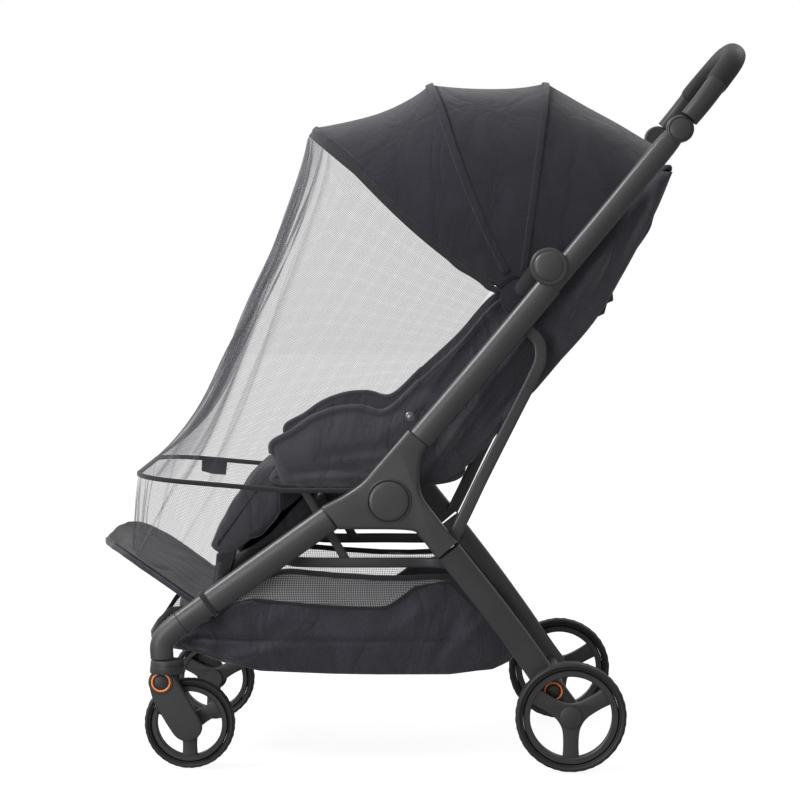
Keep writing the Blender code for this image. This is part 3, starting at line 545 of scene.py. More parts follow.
def rounded(width, depth, squareness, count=40):
    """Section of a tube: a superellipse, |2p / width|^n + |2q / depth|^n = 1."""
    turn = whole_turn(count)
    across, deep = np.cos(turn), np.sin(turn)
    power = 2.0 / squareness
    p = width / 2 * np.sign(across) * np.abs(across) ** power
    q = depth / 2 * np.sign(deep) * np.abs(deep) ** power
    return np.stack([p, q], 1)


def swept(name, path, section, material, up=(0.0, 1.0, 0.0), scale=None, closed=False, sharp=50):
    """A section carried along a path: its second axis stays as near to up as the path allows."""
    if closed:
        ahead = np.roll(path, -1, 0) - np.roll(path, 1, 0)
    else:
        ahead = np.gradient(path, axis=0)
    ahead = unit(ahead)
    side = unit(np.cross(ahead, np.broadcast_to(np.asarray(up, float), path.shape)))
    top = np.cross(side, ahead)
    size = np.ones((len(path), 2)) if scale is None else np.asarray(scale, float).reshape(len(path), -1)
    p = section[None, :, 0] * size[:, :1]
    q = section[None, :, 1] * size[:, -1:]
    grid = path[:, None] + p[..., None] * side[:, None] + q[..., None] * top[:, None]
    return surface(name, grid, material, around=True, along=closed, caps=not closed, sharp=sharp)


def turned(name, profile, centre, material, axis="y", count=72, closed=False, sharp=35):
    """A profile of (radius, height along the axis) carried round the axis."""
    turn = whole_turn(count)
    profile = np.asarray(profile, float)
    radius, height = profile[:, :1], np.broadcast_to(profile[:, 1:], (len(profile), count))
    a, b = radius * np.cos(turn), radius * np.sin(turn)
    if axis == "y":
        grid = np.stack([centre[0] + a, height, centre[1] + b], -1)
    else:
        grid = np.stack([centre[0] + a, centre[1] + b, height], -1)
    return surface(name, grid, material, around=True, along=closed, caps=not closed, sharp=sharp)


def plate(name, outline, y_inner, y_outer, edge, material, rounds=4, ways=None, sharp=40):
    """A flat piece: near each face its outline draws in by edge * (1 - cos), a quarter round."""
    normal = outward(outline) if ways is None else ways
    turn = np.linspace(0.0, np.pi / 2, rounds + 1)
    inset = np.concatenate([edge * (1 - np.sin(turn)), edge * (1 - np.cos(turn))])
    lift = np.concatenate([edge * (1 - np.cos(turn)), -edge * (1 - np.sin(turn))])
    sign = np.sign(y_outer - y_inner)
    y = np.concatenate([np.full(rounds + 1, y_inner), np.full(rounds + 1, y_outer)]) + sign * lift
    flat = outline[None] - normal[None] * inset[:, None, None]
    grid = np.stack([flat[..., 0], np.broadcast_to(y[:, None], flat.shape[:2]), flat[..., 1]], -1)
    return surface(name, grid, material, around=True, caps=True, sharp=sharp)


def prism(name, outline, half, edge, material, raise_by=None, spans=70):
    """A padded piece from side to side: its outline drawn in by a quarter round at both ends.

    raise_by(s, y) gives how far the skin stands off the outline, s being the share of the way round.
    """
    normal = outward(outline)
    turn = np.linspace(0.0, np.pi / 2, 7)
    y_end = half - edge * (1 - np.sin(turn))
    y = np.concatenate([-y_end[::-1], np.linspace(-half + edge, half - edge, spans)[1:-1], y_end])
    deep = np.maximum(np.abs(y) - (half - edge), 0.0) / edge
    inset = edge * (1 - np.sqrt(np.maximum(1 - deep**2, 0.0)))
    s = np.linspace(0.0, 1.0, len(outline), endpoint=False)
    lift = -inset[:, None] * np.ones_like(s)[None]
    if raise_by is not None:
        lift = lift + raise_by(s[None], y[:, None])
    flat = outline[None] + normal[None] * lift[..., None]
    grid = np.stack([flat[..., 0], np.broadcast_to(y[:, None], flat.shape[:2]), flat[..., 1]], -1)
    return surface(name, grid, material, around=True, caps=True, sharp=60)


# Shader groups: each works a pattern out once, for every material that uses it


def new_group(name, inputs, outputs):
    """An empty node group, the values that it is given and those that it puts out."""
    tree = bpy.data.node_groups.new(name, "ShaderNodeTree")
    for key, kind, value in inputs:
        socket = tree.interface.new_socket(key, in_out="INPUT", socket_type=kind)
        if value is not None:
            socket.default_value = value
    for key, kind in outputs:
        tree.interface.new_socket(key, in_out="OUTPUT", socket_type=kind)
    return tree, tree.nodes.new("NodeGroupInput").outputs, tree.nodes.new("NodeGroupOutput").inputs


def node(tree, kind, links=(), **settings):
    """A shader node with its settings, and its inputs linked or set by name or number."""
    made = tree.nodes.new(kind)
    for key, value in settings.items():
        setattr(made, key, value)
    for key, value in dict(links).items():
        socket = made.inputs[key]
        if isinstance(value, bpy.types.NodeSocket):
            tree.links.new(value, socket)
        else:
            socket.default_value = value
    return made


def math_node(tree, operation, *values, clamp=False):
    """One step of arithmetic on numbers or sockets."""
    made = node(tree, "ShaderNodeMath", dict(enumerate(values)), operation=operation, use_clamp=clamp)
    return made.outputs[0]


def blend_colour(tree, share, first, second):
    """first * (1 - share) + second * share."""
    links = {0: share, 6: first, 7: second}
    return node(tree, "ShaderNodeMix", links, data_type="RGBA").outputs[2]


def span(tree, value, low, high, start, stop):
    """A value carried from low..high to start..stop in proportion, held at both ends."""
    links = {"Value": value, "From Min": low, "From Max": high, "To Min": start, "To Max": stop}
    return node(tree, "ShaderNodeMapRange", links).outputs[0]


def make_weave():
    """Plain weave on the UV map: threads cross over and under, sin(u) * sin(v), with slubs of noise."""
    inputs = (("Vector", "NodeSocketVector", None), ("Pitch", "NodeSocketFloat", 0.0009))
    outputs = (("Height", "NodeSocketFloat"), ("Melange", "NodeSocketFloat"), ("Cloud", "NodeSocketFloat"))
    tree, given, put = new_group("plain weave", inputs, outputs)
    split = node(tree, "ShaderNodeSeparateXYZ", {0: given["Vector"]}).outputs
    waves = []
    for axis in (0, 1):
        turn = math_node(tree, "DIVIDE", math_node(tree, "MULTIPLY", split[axis], math.pi), given["Pitch"])
        waves.append(math_node(tree, "SINE", turn))
    tree.links.new(math_node(tree, "MULTIPLY", *waves), put["Height"])
    for key, stretch, scale in (("Melange", (260.0, 900.0, 260.0), 1.0), ("Cloud", (16.0, 16.0, 16.0), 1.0)):
        moved = node(tree, "ShaderNodeMapping", {0: given["Vector"], "Scale": stretch}).outputs[0]
        noise = node(tree, "ShaderNodeTexNoise", {"Vector": moved, "Scale": scale, "Detail": 3.0})
        tree.links.new(noise.outputs[0], put[key])
    return tree


def make_wrinkles():
    """Soft wrinkles: the distance of a stretched, distorted noise from its middle makes long troughs."""
    inputs = (("Vector", "NodeSocketVector", None), ("Scale", "NodeSocketFloat", 14.0))
    tree, given, put = new_group("soft wrinkles", inputs, (("Height", "NodeSocketFloat"),))
    links = {0: given["Vector"], "Scale": (1.0, 1.0, 0.45), "Rotation": (0.0, 0.6, 0.0)}
    moved = node(tree, "ShaderNodeMapping", links).outputs[0]
    links = {"Vector": moved, "Scale": given["Scale"], "Detail": 3.0, "Distortion": 0.9}
    noise = node(tree, "ShaderNodeTexNoise", links).outputs[0]
    valley = math_node(tree, "ABSOLUTE", math_node(tree, "SUBTRACT", noise, 0.5))
    tree.links.new(math_node(tree, "POWER", valley, 0.7), put["Height"])
    return tree


def make_grain():
    """Fine moulded or powder-coated grain, with broad handling marks in the roughness."""
    inputs = (("Vector", "NodeSocketVector", None), ("Scale", "NodeSocketFloat", 900.0))
    outputs = (("Height", "NodeSocketFloat"), ("Marks", "NodeSocketFloat"))
    tree, given, put = new_group("fine grain", inputs, outputs)
    links = {"Vector": given["Vector"], "Scale": given["Scale"], "Detail": 2.0}
    tree.links.new(node(tree, "ShaderNodeTexNoise", links).outputs[0], put["Height"])
    links = {"Vector": given["Vector"], "Scale": 22.0, "Detail": 4.0}
    tree.links.new(node(tree, "ShaderNodeTexNoise", links).outputs[0], put["Marks"])
    return tree


def make_mesh_pattern():
    """Square mesh on the UV map: a thread wherever the cosine along either way passes its crest."""
    inputs = (
        ("Vector", "NodeSocketVector", None),
        ("Pitch", "NodeSocketFloat", 0.0013),
        ("Thread", "NodeSocketFloat", 0.35),
    )
    tree, given, put = new_group("fine mesh", inputs, (("Thread", "NodeSocketFloat"),))
    split = node(tree, "ShaderNodeSeparateXYZ", {0: given["Vector"]}).outputs
    masks = []
    for axis in (0, 1):
        turn = math_node(tree, "MULTIPLY", split[axis], 2 * math.pi)
        crest = math_node(tree, "COSINE", math_node(tree, "DIVIDE", turn, given["Pitch"]))
        edge = math_node(tree, "SUBTRACT", 1.0, math_node(tree, "MULTIPLY", given["Thread"], 1.6))
        masks.append(span(tree, crest, edge, 1.0, 0.0, 1.0))
    tree.links.new(math_node(tree, "MAXIMUM", *masks), put["Thread"])
    return tree


WEAVE = make_weave()
WRINKLES = make_wrinkles()
GRAIN = make_grain()
MESH_PATTERN = make_mesh_pattern()


def new_material(name, roughness, metallic=0.0, specular=0.5, sheen=0.0):
    """A material with the plain settings of its shader."""
    made = bpy.data.materials.new(name)
    made.use_nodes = True
    tree = made.node_tree
    shader = tree.nodes["Principled BSDF"]
    shader.inputs["Roughness"].default_value = roughness
    shader.inputs["Metallic"].default_value = metallic
    shader.inputs["Specular IOR Level"].default_value = specular
    shader.inputs["Sheen Weight"].default_value = sheen
    shader.inputs["Sheen Roughness"].default_value = 0.45
    return made, tree, shader


def add_bump(tree, shader, height, distance, strength=0.5):
    """Shading that rises by height * distance."""
    links = {"Height": height, "Distance": distance, "Strength": strength}
    tree.links.new(node(tree, "ShaderNodeBump", links).outputs[0], shader.inputs["Normal"])


def hard(name, colour, roughness, spread, scale, distance, metallic=0.0, specular=0.5):
    """Painted metal or moulded plastic: grain in the bump, handling marks in tone and roughness."""
    made, tree, shader = new_material(name, roughness, metallic, specular)
    place = node(tree, "ShaderNodeTexCoord").outputs["Object"]
    grain = node(tree, "ShaderNodeGroup", node_tree=GRAIN)
    tree.links.new(place, grain.inputs["Vector"])
    grain.inputs["Scale"].default_value = scale
    lighter = [min(1.0, value * 1.35) for value in colour]
    tone = blend_colour(tree, grain.outputs["Marks"], (*colour, 1.0), (*lighter, 1.0))
    tree.links.new(tone, shader.inputs["Base Color"])
    rough = span(tree, grain.outputs["Marks"], 0.3, 0.7, roughness - spread, roughness + spread)
    tree.links.new(rough, shader.inputs["Roughness"])
    add_bump(tree, shader, grain.outputs["Height"], distance)
    return made


def cloth(name, dark, light, pitch=0.0009, depth=0.0002, wrinkle=0.010, roughness=0.9, sheen=0.25):
    """Woven cloth: melange of two yarns, faint clouding, painted shade that darkens the wrinkles' troughs
    and lightens their crests, and the weave and soft wrinkles as bump.
    """
    made, tree, shader = new_material(name, roughness, 0.0, 0.25, sheen)
    weave = node(tree, "ShaderNodeGroup", node_tree=WEAVE)
    tree.links.new(node(tree, "ShaderNodeUVMap", uv_map="metres").outputs[0], weave.inputs["Vector"])
    weave.inputs["Pitch"].default_value = pitch
    yarn = span(tree, weave.outputs["Melange"], 0.35, 0.65, 0.0, 1.0)
    cloud = span(tree, weave.outputs["Cloud"], 0.3, 0.7, -0.12, 0.12)
    creased = node(tree, "ShaderNodeGroup", node_tree=WRINKLES)
    tree.links.new(node(tree, "ShaderNodeTexCoord").outputs["Object"], creased.inputs["Vector"])
    # Painted shade and highlight: the colour darkens where the soft wrinkles sink and lightens a little
    # where they rise.
    wrinkle_shade = span(tree, creased.outputs["Height"], 0.05, 0.35, -0.35 * (wrinkle > 0.0), 0.12)
    share = math_node(tree, "ADD", math_node(tree, "ADD", yarn, cloud), wrinkle_shade, clamp=True)
    tree.links.new(blend_colour(tree, share, (*dark, 1.0), (*light, 1.0)), shader.inputs["Base Color"])
    threads = math_node(tree, "ADD", weave.outputs["Height"], weave.outputs["Melange"])
    soft = math_node(tree, "MULTIPLY", creased.outputs["Height"], wrinkle)
    height = math_node(tree, "MULTIPLY_ADD", threads, depth, soft)
    add_bump(tree, shader, height, 1.0, 0.8)
    return made


def netting(name, colour, pitch, thread, low, high, gathered=0.60):
    """Sheer mesh: alpha is low in its holes and high on its threads, and rises where it is gathered and
    along its folds, which darkens the net there, partly as painted shade.
    """
    made, tree, shader = new_material(name, 0.8, 0.0, 0.2, 0.1)
    shader.inputs["Base Color"].default_value = (*colour, 1.0)
    pattern = node(tree, "ShaderNodeGroup", node_tree=MESH_PATTERN)
    tree.links.new(node(tree, "ShaderNodeUVMap", uv_map="metres").outputs[0], pattern.inputs["Vector"])
    pattern.inputs["Pitch"].default_value = pitch
    pattern.inputs["Thread"].default_value = thread
    cover = span(tree, pattern.outputs["Thread"], 0.0, 1.0, low, high)
    # Painted shade: the gathering attribute raises alpha, which darkens the net along and beside its folds
    # and over its gathered middle.
    gather_and_shade = node(tree, "ShaderNodeAttribute", attribute_name="gather_and_shade").outputs["Fac"]
    denser_and_shaded = math_node(tree, "MULTIPLY", gather_and_shade, gathered)
    alpha = math_node(tree, "ADD", cover, denser_and_shaded, clamp=True)
    tree.links.new(alpha, shader.inputs["Alpha"])
    lighter = [value * 1.5 for value in colour]
    tone = blend_colour(tree, pattern.outputs["Thread"], (*colour, 1.0), (*lighter, 1.0))
    tree.links.new(tone, shader.inputs["Base Color"])
    return made


PAINT = hard("satin graphite paint", (0.0250, 0.0255, 0.0265), 0.36, 0.05, 1400.0, 0.00002, specular=0.5)
PLASTIC = hard("moulded dark plastic", (0.0210, 0.0215, 0.0225), 0.46, 0.06, 1100.0, 0.00003, specular=0.4)
GRIP = hard("pebbled grip foam", (0.011, 0.011, 0.012), 0.62, 0.05, 700.0, 0.00012, specular=0.35)
RUBBER = hard("tyre rubber", (0.012, 0.012, 0.013), 0.62, 0.08, 800.0, 0.00005, specular=0.35)
METAL = hard("dark stud metal", (0.16, 0.16, 0.17), 0.30, 0.05, 900.0, 0.00001, metallic=0.9)
ORANGE = hard("orange ring plastic", (0.72, 0.20, 0.035), 0.38, 0.04, 900.0, 0.00001)
CANOPY_CLOTH = cloth("canopy cloth", (0.0130, 0.0126, 0.0185), (0.023, 0.0225, 0.031), wrinkle=0.0045)
SEAT_CLOTH = cloth("seat cloth", (0.030, 0.0295, 0.038), (0.054, 0.053, 0.065), wrinkle=0.016)
FOOT_CLOTH = cloth("footrest cloth", (0.011, 0.0108, 0.014), (0.020, 0.0195, 0.025), wrinkle=0.006)
BACK_CLOTH = cloth("seat back cloth", (0.009, 0.009, 0.011), (0.017, 0.017, 0.021), wrinkle=0.020)
TAPE = cloth("binding tape", (0.013, 0.013, 0.015), (0.024, 0.024, 0.028), 0.0016, 0.0003, 0.0)
BAG_CLOTH = cloth("basket cloth", (0.027, 0.0265, 0.035), (0.048, 0.047, 0.060), wrinkle=0.012)
NET = netting("net mesh", (0.060, 0.060, 0.068), 0.0023, 0.36, 0.07, 0.48)
BAG_MESH = netting("basket mesh", (0.20, 0.20, 0.205), 0.0034, 0.46, 0.25, 0.85)
METAL_SLOT, PAINT_SLOT, PLASTIC_SLOT = "stud_metal", "graphite_paint", "dark_plastic"


# Frame


def tubes():
    """Tubes, struts and bars, each a section carried along its line."""
    neck = 1.0 - NECK_SHARE * np.exp(-np.arange(70) / 3.0)
    taper = 1.0 - LEG_TAPER * np.clip((np.linspace(0.0, 1.0, 110) - 0.4) / 0.6, 0.0, 1.0)
    for word, side in SIDES:
        y = side * TUBE_Y
        mirror = (1.0, side, 1.0)
        upper = flat_path(curve([UPPER_TUBE_END, *UPPER_TUBE], 70), y)
        lower = flat_path(curve(LOWER_TUBE, 50), y)
        leg = flat_path(curve(FRONT_LEG, 110), y)
        rear = curve(np.array(REAR_LEG) * mirror, 90)
        strut = flat_path(curve(STRUT, 90), side * STRUT_Y)
        bar = curve(np.array(LOWER_BAR) * mirror, 70)
        for name, node_name, path, section, material, slot, scale in (
            ("upper_frame_tube", "upper_tube", upper, UPPER_SECTION, PAINT, PAINT_SLOT, neck),
            ("lower_frame_tube", "lower_tube", lower, LOWER_SECTION, PAINT, PAINT_SLOT, None),
            ("front_leg_tube", "front_leg", leg, LEG_SECTION, PAINT, PAINT_SLOT, taper),
            ("rear_leg_tube", "rear_leg", rear, REAR_LEG_SECTION, PAINT, PAINT_SLOT, None),
            ("seat_back_strut", "back_strut", strut, STRUT_SECTION, PAINT, PAINT_SLOT, None),
            ("folding_bar", "lower_bar", bar, BAR_SECTION, PLASTIC, PLASTIC_SLOT, None),
        ):
            made = swept(f"{name}_{word}", path, rounded(*section), material, scale=scale)
            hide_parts(f"{node_name}_{word}")
        link = flat_path(spaced(SEAT_LINK, 12), side * SEAT_LINK_Y)
        swept(f"seat_link_{word}", link, rounded(*LINK_SECTION), PLASTIC)


def seam_ring(name, place, heading, width, depth, y):
    """A thin dark groove line round a tube where two castings meet."""
    section = rounded(width + 0.0006, depth + 0.0006, 2.7, 56)
    x = place[0] - section[:, 0] * heading[1]
    z = place[1] + section[:, 0] * heading[0]
    line = np.stack([x, y + section[:, 1], z], 1)
    swept(name, line, rounded(0.0011, 0.0011, 2.0, 6), PLASTIC, closed=True, sharp=None)


def housings():
    """Castings at the frame's pivots, each with its round cover in a groove, and seams on the tubes."""
    outline, ways = casting_outline(HOUSING, HOUSING_CORNERS)
    r = PIVOT_RADIUS
    cover = [
        (0.0, 0.0046), (r * 0.7, 0.0044), (r - 0.0055, 0.0040), (r - 0.0042, 0.0034),
        (r - 0.0038, 0.0012), (r - 0.0024, 0.0012), (r - 0.0020, 0.0030), (r - 0.0008, 0.0030),
        (r, 0.0020), (r, 0.0003), (0.0, 0.0003),
    ]
    section = rounded(0.0020, 0.0016, 2.0, 10)
    for word, side in SIDES:
        inner, outer = side * TUBE_INNER_Y, side * TUBE_OUTER_Y
        made = plate(f"pivot_casting_{word}", outline, inner, outer, 0.006, PAINT, 6, ways)
        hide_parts(f"pivot_housing_{word}")
        made = turned(f"pivot_cover_{word}", standing(cover, side, TUBE_OUTER_Y), PIVOT, PAINT)
        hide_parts(f"pivot_disc_{word}")
        groove = flat_path(circle(PIVOT, r - 0.0031, 90), side * (TUBE_OUTER_Y + 0.0014))
        swept(f"pivot_groove_{word}", groove, section, RUBBER, closed=True, sharp=None)
        for name, place, heading, width, share in SEAMS:
            seam_ring(f"{name}_{word}", place, heading, width * share, TUBE_DEPTH * share, side * TUBE_Y)


def canopy_hubs():
    """Domed disc with a raised centre on the tube, the lobe inside it, and the handle's hinges."""
    r = HUB_RADIUS
    cap = [
        (0.0, 0.0092), (r * 0.62, 0.0088), (r * 0.74, 0.0078), (r * 0.78, 0.0066), (r * 0.80, 0.0060),
        (r * 0.84, 0.0062), (r * 0.94, 0.0058), (r, 0.0040), (r, 0.0003), (0.0, 0.0003),
    ]
    lean = math.atan2(HUB_LOBE_TOP[1] - HUB_LOBE_FOOT[1], HUB_LOBE_TOP[0] - HUB_LOBE_FOOT[0])
    lobe = []
    for angle in whole_turn(48):
        upper = math.cos(angle - lean) > 0
        centre = HUB_LOBE_TOP if upper else HUB_LOBE_FOOT
        radius = HUB_LOBE_TOP_RADIUS if upper else HUB_LOBE_FOOT_RADIUS
        lobe.append((centre[0] + radius * math.cos(angle), centre[1] + radius * math.sin(angle)))
    lobe = spaced(lobe, 60, closed=True)
    r = JOINT_RADIUS
    face = TUBE_Y + 0.013
    back = 2 * TUBE_Y - face
    joint = [
        (0.0, face + 0.0022), (r * 0.66, face + 0.0020), (r * 0.76, face + 0.0012),
        (r * 0.78, face - 0.0010), (r * 0.84, face - 0.0010), (r * 0.87, face + 0.0002),
        (r * 0.96, face - 0.0006), (r, face - 0.0026), (r, back + 0.0026), (r * 0.9, back), (0.0, back),
    ]
    for word, side in SIDES:
        disc = standing(cap, side, TUBE_OUTER_Y)
        made = turned(f"canopy_hinge_cap_{word}", disc, CANOPY_HUB, PAINT)
        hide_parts(f"canopy_hub_{word}")
        inner, outer = side * (CANOPY_HALF_WIDTH + GAP), side * (TUBE_INNER_Y - GAP)
        plate(f"canopy_hinge_arm_{word}", lobe, inner, outer, 0.0006, RUBBER, 2)
        made = turned(f"handle_hinge_{word}", standing(joint, side), HANDLE_JOINT, PAINT)
        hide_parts(f"handle_joint_{word}")


def handle():
    """Foam grip bent over from side to side, on two moulded arms that end in the hinges."""
    half = [(x, -y, z) for x, y, z in HANDLE]
    whole = half + [(x, -y, z) for x, y, z in reversed(half[:-1])]
    path = curve(whole, HANDLE_POINTS)
    up = HANDLE_UP
    arm = ARM_POINTS
    grip = path[arm - 1 : -(arm - 1)]
    swell = 1.0 + 0.03 * np.sin(np.linspace(0.0, np.pi, len(grip))) ** 0.5
    ends = np.minimum(np.arange(len(grip)), np.arange(len(grip))[::-1])
    swell *= 1.0 - 0.05 * np.exp(-ends / 1.5)
    diameter = 2 * HANDLE_RADIUS
    section = rounded(diameter, diameter, 2.1, 48)
    made = swept("handle_grip", grip, section, GRIP, up, swell, sharp=None)
    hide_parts("handle")
    section = rounded(diameter, diameter * 0.86, 2.8)
    for (word, _), part in zip(SIDES, (path[: arm + 1], path[-arm - 1 :][::-1])):
        shape = 0.98 + 0.06 * np.linspace(0.0, 1.0, len(part))
        made = swept(f"handle_arm_{word}", part, section, PLASTIC, up, shape)
        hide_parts("handle")


# Wheels


def spider(centre, hole, spoke, hub):
    """Outline of three spokes, one of them pointing down, that flow into each other round the hub."""
    line = []
    for turn in (-90.0, 30.0, 150.0):
        out = np.array([math.cos(math.radians(turn)), math.sin(math.radians(turn))])
        side = np.array([-out[1], out[0]])
        nearer = np.array([math.cos(math.radians(turn + 60)), math.sin(math.radians(turn + 60))])
        after = np.array([math.cos(math.radians(turn + 120)), math.sin(math.radians(turn + 120))])
        back = np.array([after[1], -after[0]])
        reach = hole + 0.002
        stretch = [
            out * reach + side * spoke * 1.05,
            out * (hub * 0.45 + reach * 0.55) + side * spoke * 0.96,
            out * (hub * 1.25) + side * spoke * 1.06,
            nearer * hub * 1.10,
            after * (hub * 1.25) + back * spoke * 1.06,
            after * (hub * 0.45 + reach * 0.55) + back * spoke * 0.96,
            after * reach + back * spoke * 1.05,
        ]
        line.append(curve(stretch, 40))
    return np.vstack(line) + np.asarray(centre)


def wheel(name, node_name, centre, radius, hole, y, side, spoke, hub):
    """Tyre with a ribbed tread and a groove beside its rim, rim ring, spider and hub cap."""
    middle = radius - (radius - hole) * 0.52
    tread = radius - middle
    h = TYRE_WIDTH / 2
    outer = [
        (middle, -0.55 * h), (middle + 0.12 * tread, -0.82 * h), (middle + 0.24 * tread, -0.80 * h),
        (middle + 0.34 * tread, -0.93 * h), (middle + 0.62 * tread, -1.00 * h),
        (middle + 0.86 * tread, -0.84 * h), (radius - 0.0008, -0.55 * h), (radius, -0.20 * h),
    ]
    loop = outer + [(r, -w) for r, w in reversed(outer)]
    profile = curve(loop, 48, closed=True)
    turn = whole_turn(144)
    crown = np.clip((profile[:, 0] - (radius - TREAD_CROWN)) / TREAD_CROWN, 0.0, 1.0)
    ribs = TREAD_RIB_DEPTH * crown[:, None] * (np.sign(np.sin(turn * TREAD_RIBS)) - 1) / 2
    reach = profile[:, :1] + ribs
    grid = np.stack(
        [
            centre[0] + reach * np.cos(turn),
            np.broadcast_to(y + profile[:, 1:], reach.shape),
            centre[1] + reach * np.sin(turn),
        ],
        -1,
    )
    made = surface(f"{name}_tyre_tread", grid, RUBBER, around=True, along=True, sharp=40)
    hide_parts(f"{node_name}_tyre")
    w = RIM_HALF
    rim = [
        (hole, -w * 0.86), (hole + 0.0012, -w), (middle - 0.0022, -w), (middle - 0.0008, -w * 0.8),
        (middle - 0.0004, -w * 0.5), (middle - 0.0004, w * 0.5), (middle - 0.0008, w * 0.8),
        (middle - 0.0022, w), (hole + 0.0012, w), (hole, w * 0.86),
    ]
    ring = [(r, y + deep) for r, deep in rim]
    made = turned(f"{name}_rim_ring", ring, centre, PLASTIC, count=120, closed=True)
    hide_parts(f"{node_name}_rim")
    web = spider(centre, hole, spoke, hub)
    inner, outer = y - side * SPOKES_HALF, y + side * SPOKES_HALF
    made = plate(f"{name}_spokes", web, inner, outer, 0.0016, PLASTIC, rounds=3)
    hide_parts(f"{node_name}_rim")
    cap = [
        (0.0, 0.0094), (hub * 0.80, 0.0092), (hub * 0.92, 0.0084), (hub * 0.96, 0.0068),
        (hub * 0.96, -0.0120), (0.0, -0.0120),
    ]
    cap = [(r, y + side * deep) for r, deep in cap]
    made = turned(f"{name}_hub_cap", cap, centre, PLASTIC)
    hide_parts(f"{node_name}_rim")


def wheels():
    """All four wheels, the front one first on each side."""
    for word, side in SIDES:
        for end, centre, radius, hole, y, spoke, hub in WHEELS:
            names = f"{end}_{word}", f"{end}_wheel_{word}"
            wheel(*names, centre, radius, hole, side * y, side, spoke, hub)


def casters():
    """Swivel housings, fork arms, and the orange rings on the forks and on the rear brake."""
    z, r, h = CASTER[1], CASTER_RADIUS, CASTER_HEIGHT / 2
    body = [
        (0.0, z + h), (r * 0.90, z + h), (r * 0.94, z + h - 0.0010), (r * 0.955, z + 0.0030),
        (r * 0.935, z + 0.0024), (r * 0.965, z + 0.0018), (r, z - h + 0.0012), (r * 0.98, z - h),
        (0.0, z - h),
    ]
    outline = curve(FORK, 140, closed=True)
    bead = rounded(0.0026, 0.0018, 2.4, 16)
    for word, side in SIDES:
        place = (CASTER[0], side * TUBE_Y)
        made = turned(f"swivel_housing_{word}", body, place, PLASTIC, axis="z")
        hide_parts(f"caster_{word}")
        inner, outer = side * FORK_INNER_Y, side * FORK_OUTER_Y
        made = plate(f"fork_arm_{word}", outline, inner, outer, 0.0032, PLASTIC, rounds=5)
        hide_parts(f"fork_{word}")
        for trim, place, radius, face in (
            ("fork_ring", FORK_RING, 0.0130, FORK_OUTER_Y),
            ("brake_ring", REAR_RING, 0.0125, REAR_LEG_Y + REAR_LEG_DEPTH / 2),
        ):
            ring = flat_path(circle(place, radius, 72), side * (face + GAP + 0.0010))
            made = swept(f"{trim}_bead_{word}", ring, bead, ORANGE, closed=True)
            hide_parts(f"{trim}_{word}")
            button = [
                (0.0, 0.0016), (radius * 0.66, 0.0016), (radius * 0.78, 0.0006), (radius * 0.86, -0.0010),
                (0.0, -0.0010),
            ]
            button = standing(button, side, face)
            turned(f"{trim}_button_{word}", button, place, PLASTIC)
            collar = [
                (radius * 1.12, -0.0010), (radius * 1.16, 0.0012), (radius * 1.32, 0.0012),
                (radius * 1.42, -0.0004), (radius * 1.42, -0.0030), (radius * 1.12, -0.0030),
            ]
            collar = standing(collar, side, face)
            turned(f"{trim}_collar_{word}", collar, place, PLASTIC, closed=True)


# Canopy


def signed_power(value, power):
    """|value|^power, with the sign of value."""
    return np.sign(value) * np.abs(value) ** power


def arch(angle, length, half_width, drop, count):
    """An arch from its near foot to its far foot: y = -w cos^n, reach = foot + (length - foot) sin^n."""
    turn = np.linspace(0.0, np.pi, 401)
    heading = math.radians(angle)
    y = -half_width * signed_power(np.cos(turn), SQUARENESS)
    reach = FOOT_RADIUS + (length - FOOT_RADIUS) * signed_power(np.sin(turn), SQUARENESS)
    lower = drop * np.sin(np.pi * np.minimum(reach / 0.30, 1.0))
    x = FAN_FOOT[0] + reach * math.cos(heading) - lower * math.sin(heading)
    z = FAN_FOOT[1] + reach * math.sin(heading) + lower * math.cos(heading)
    return spaced(np.stack([x, y, z], 1), count)


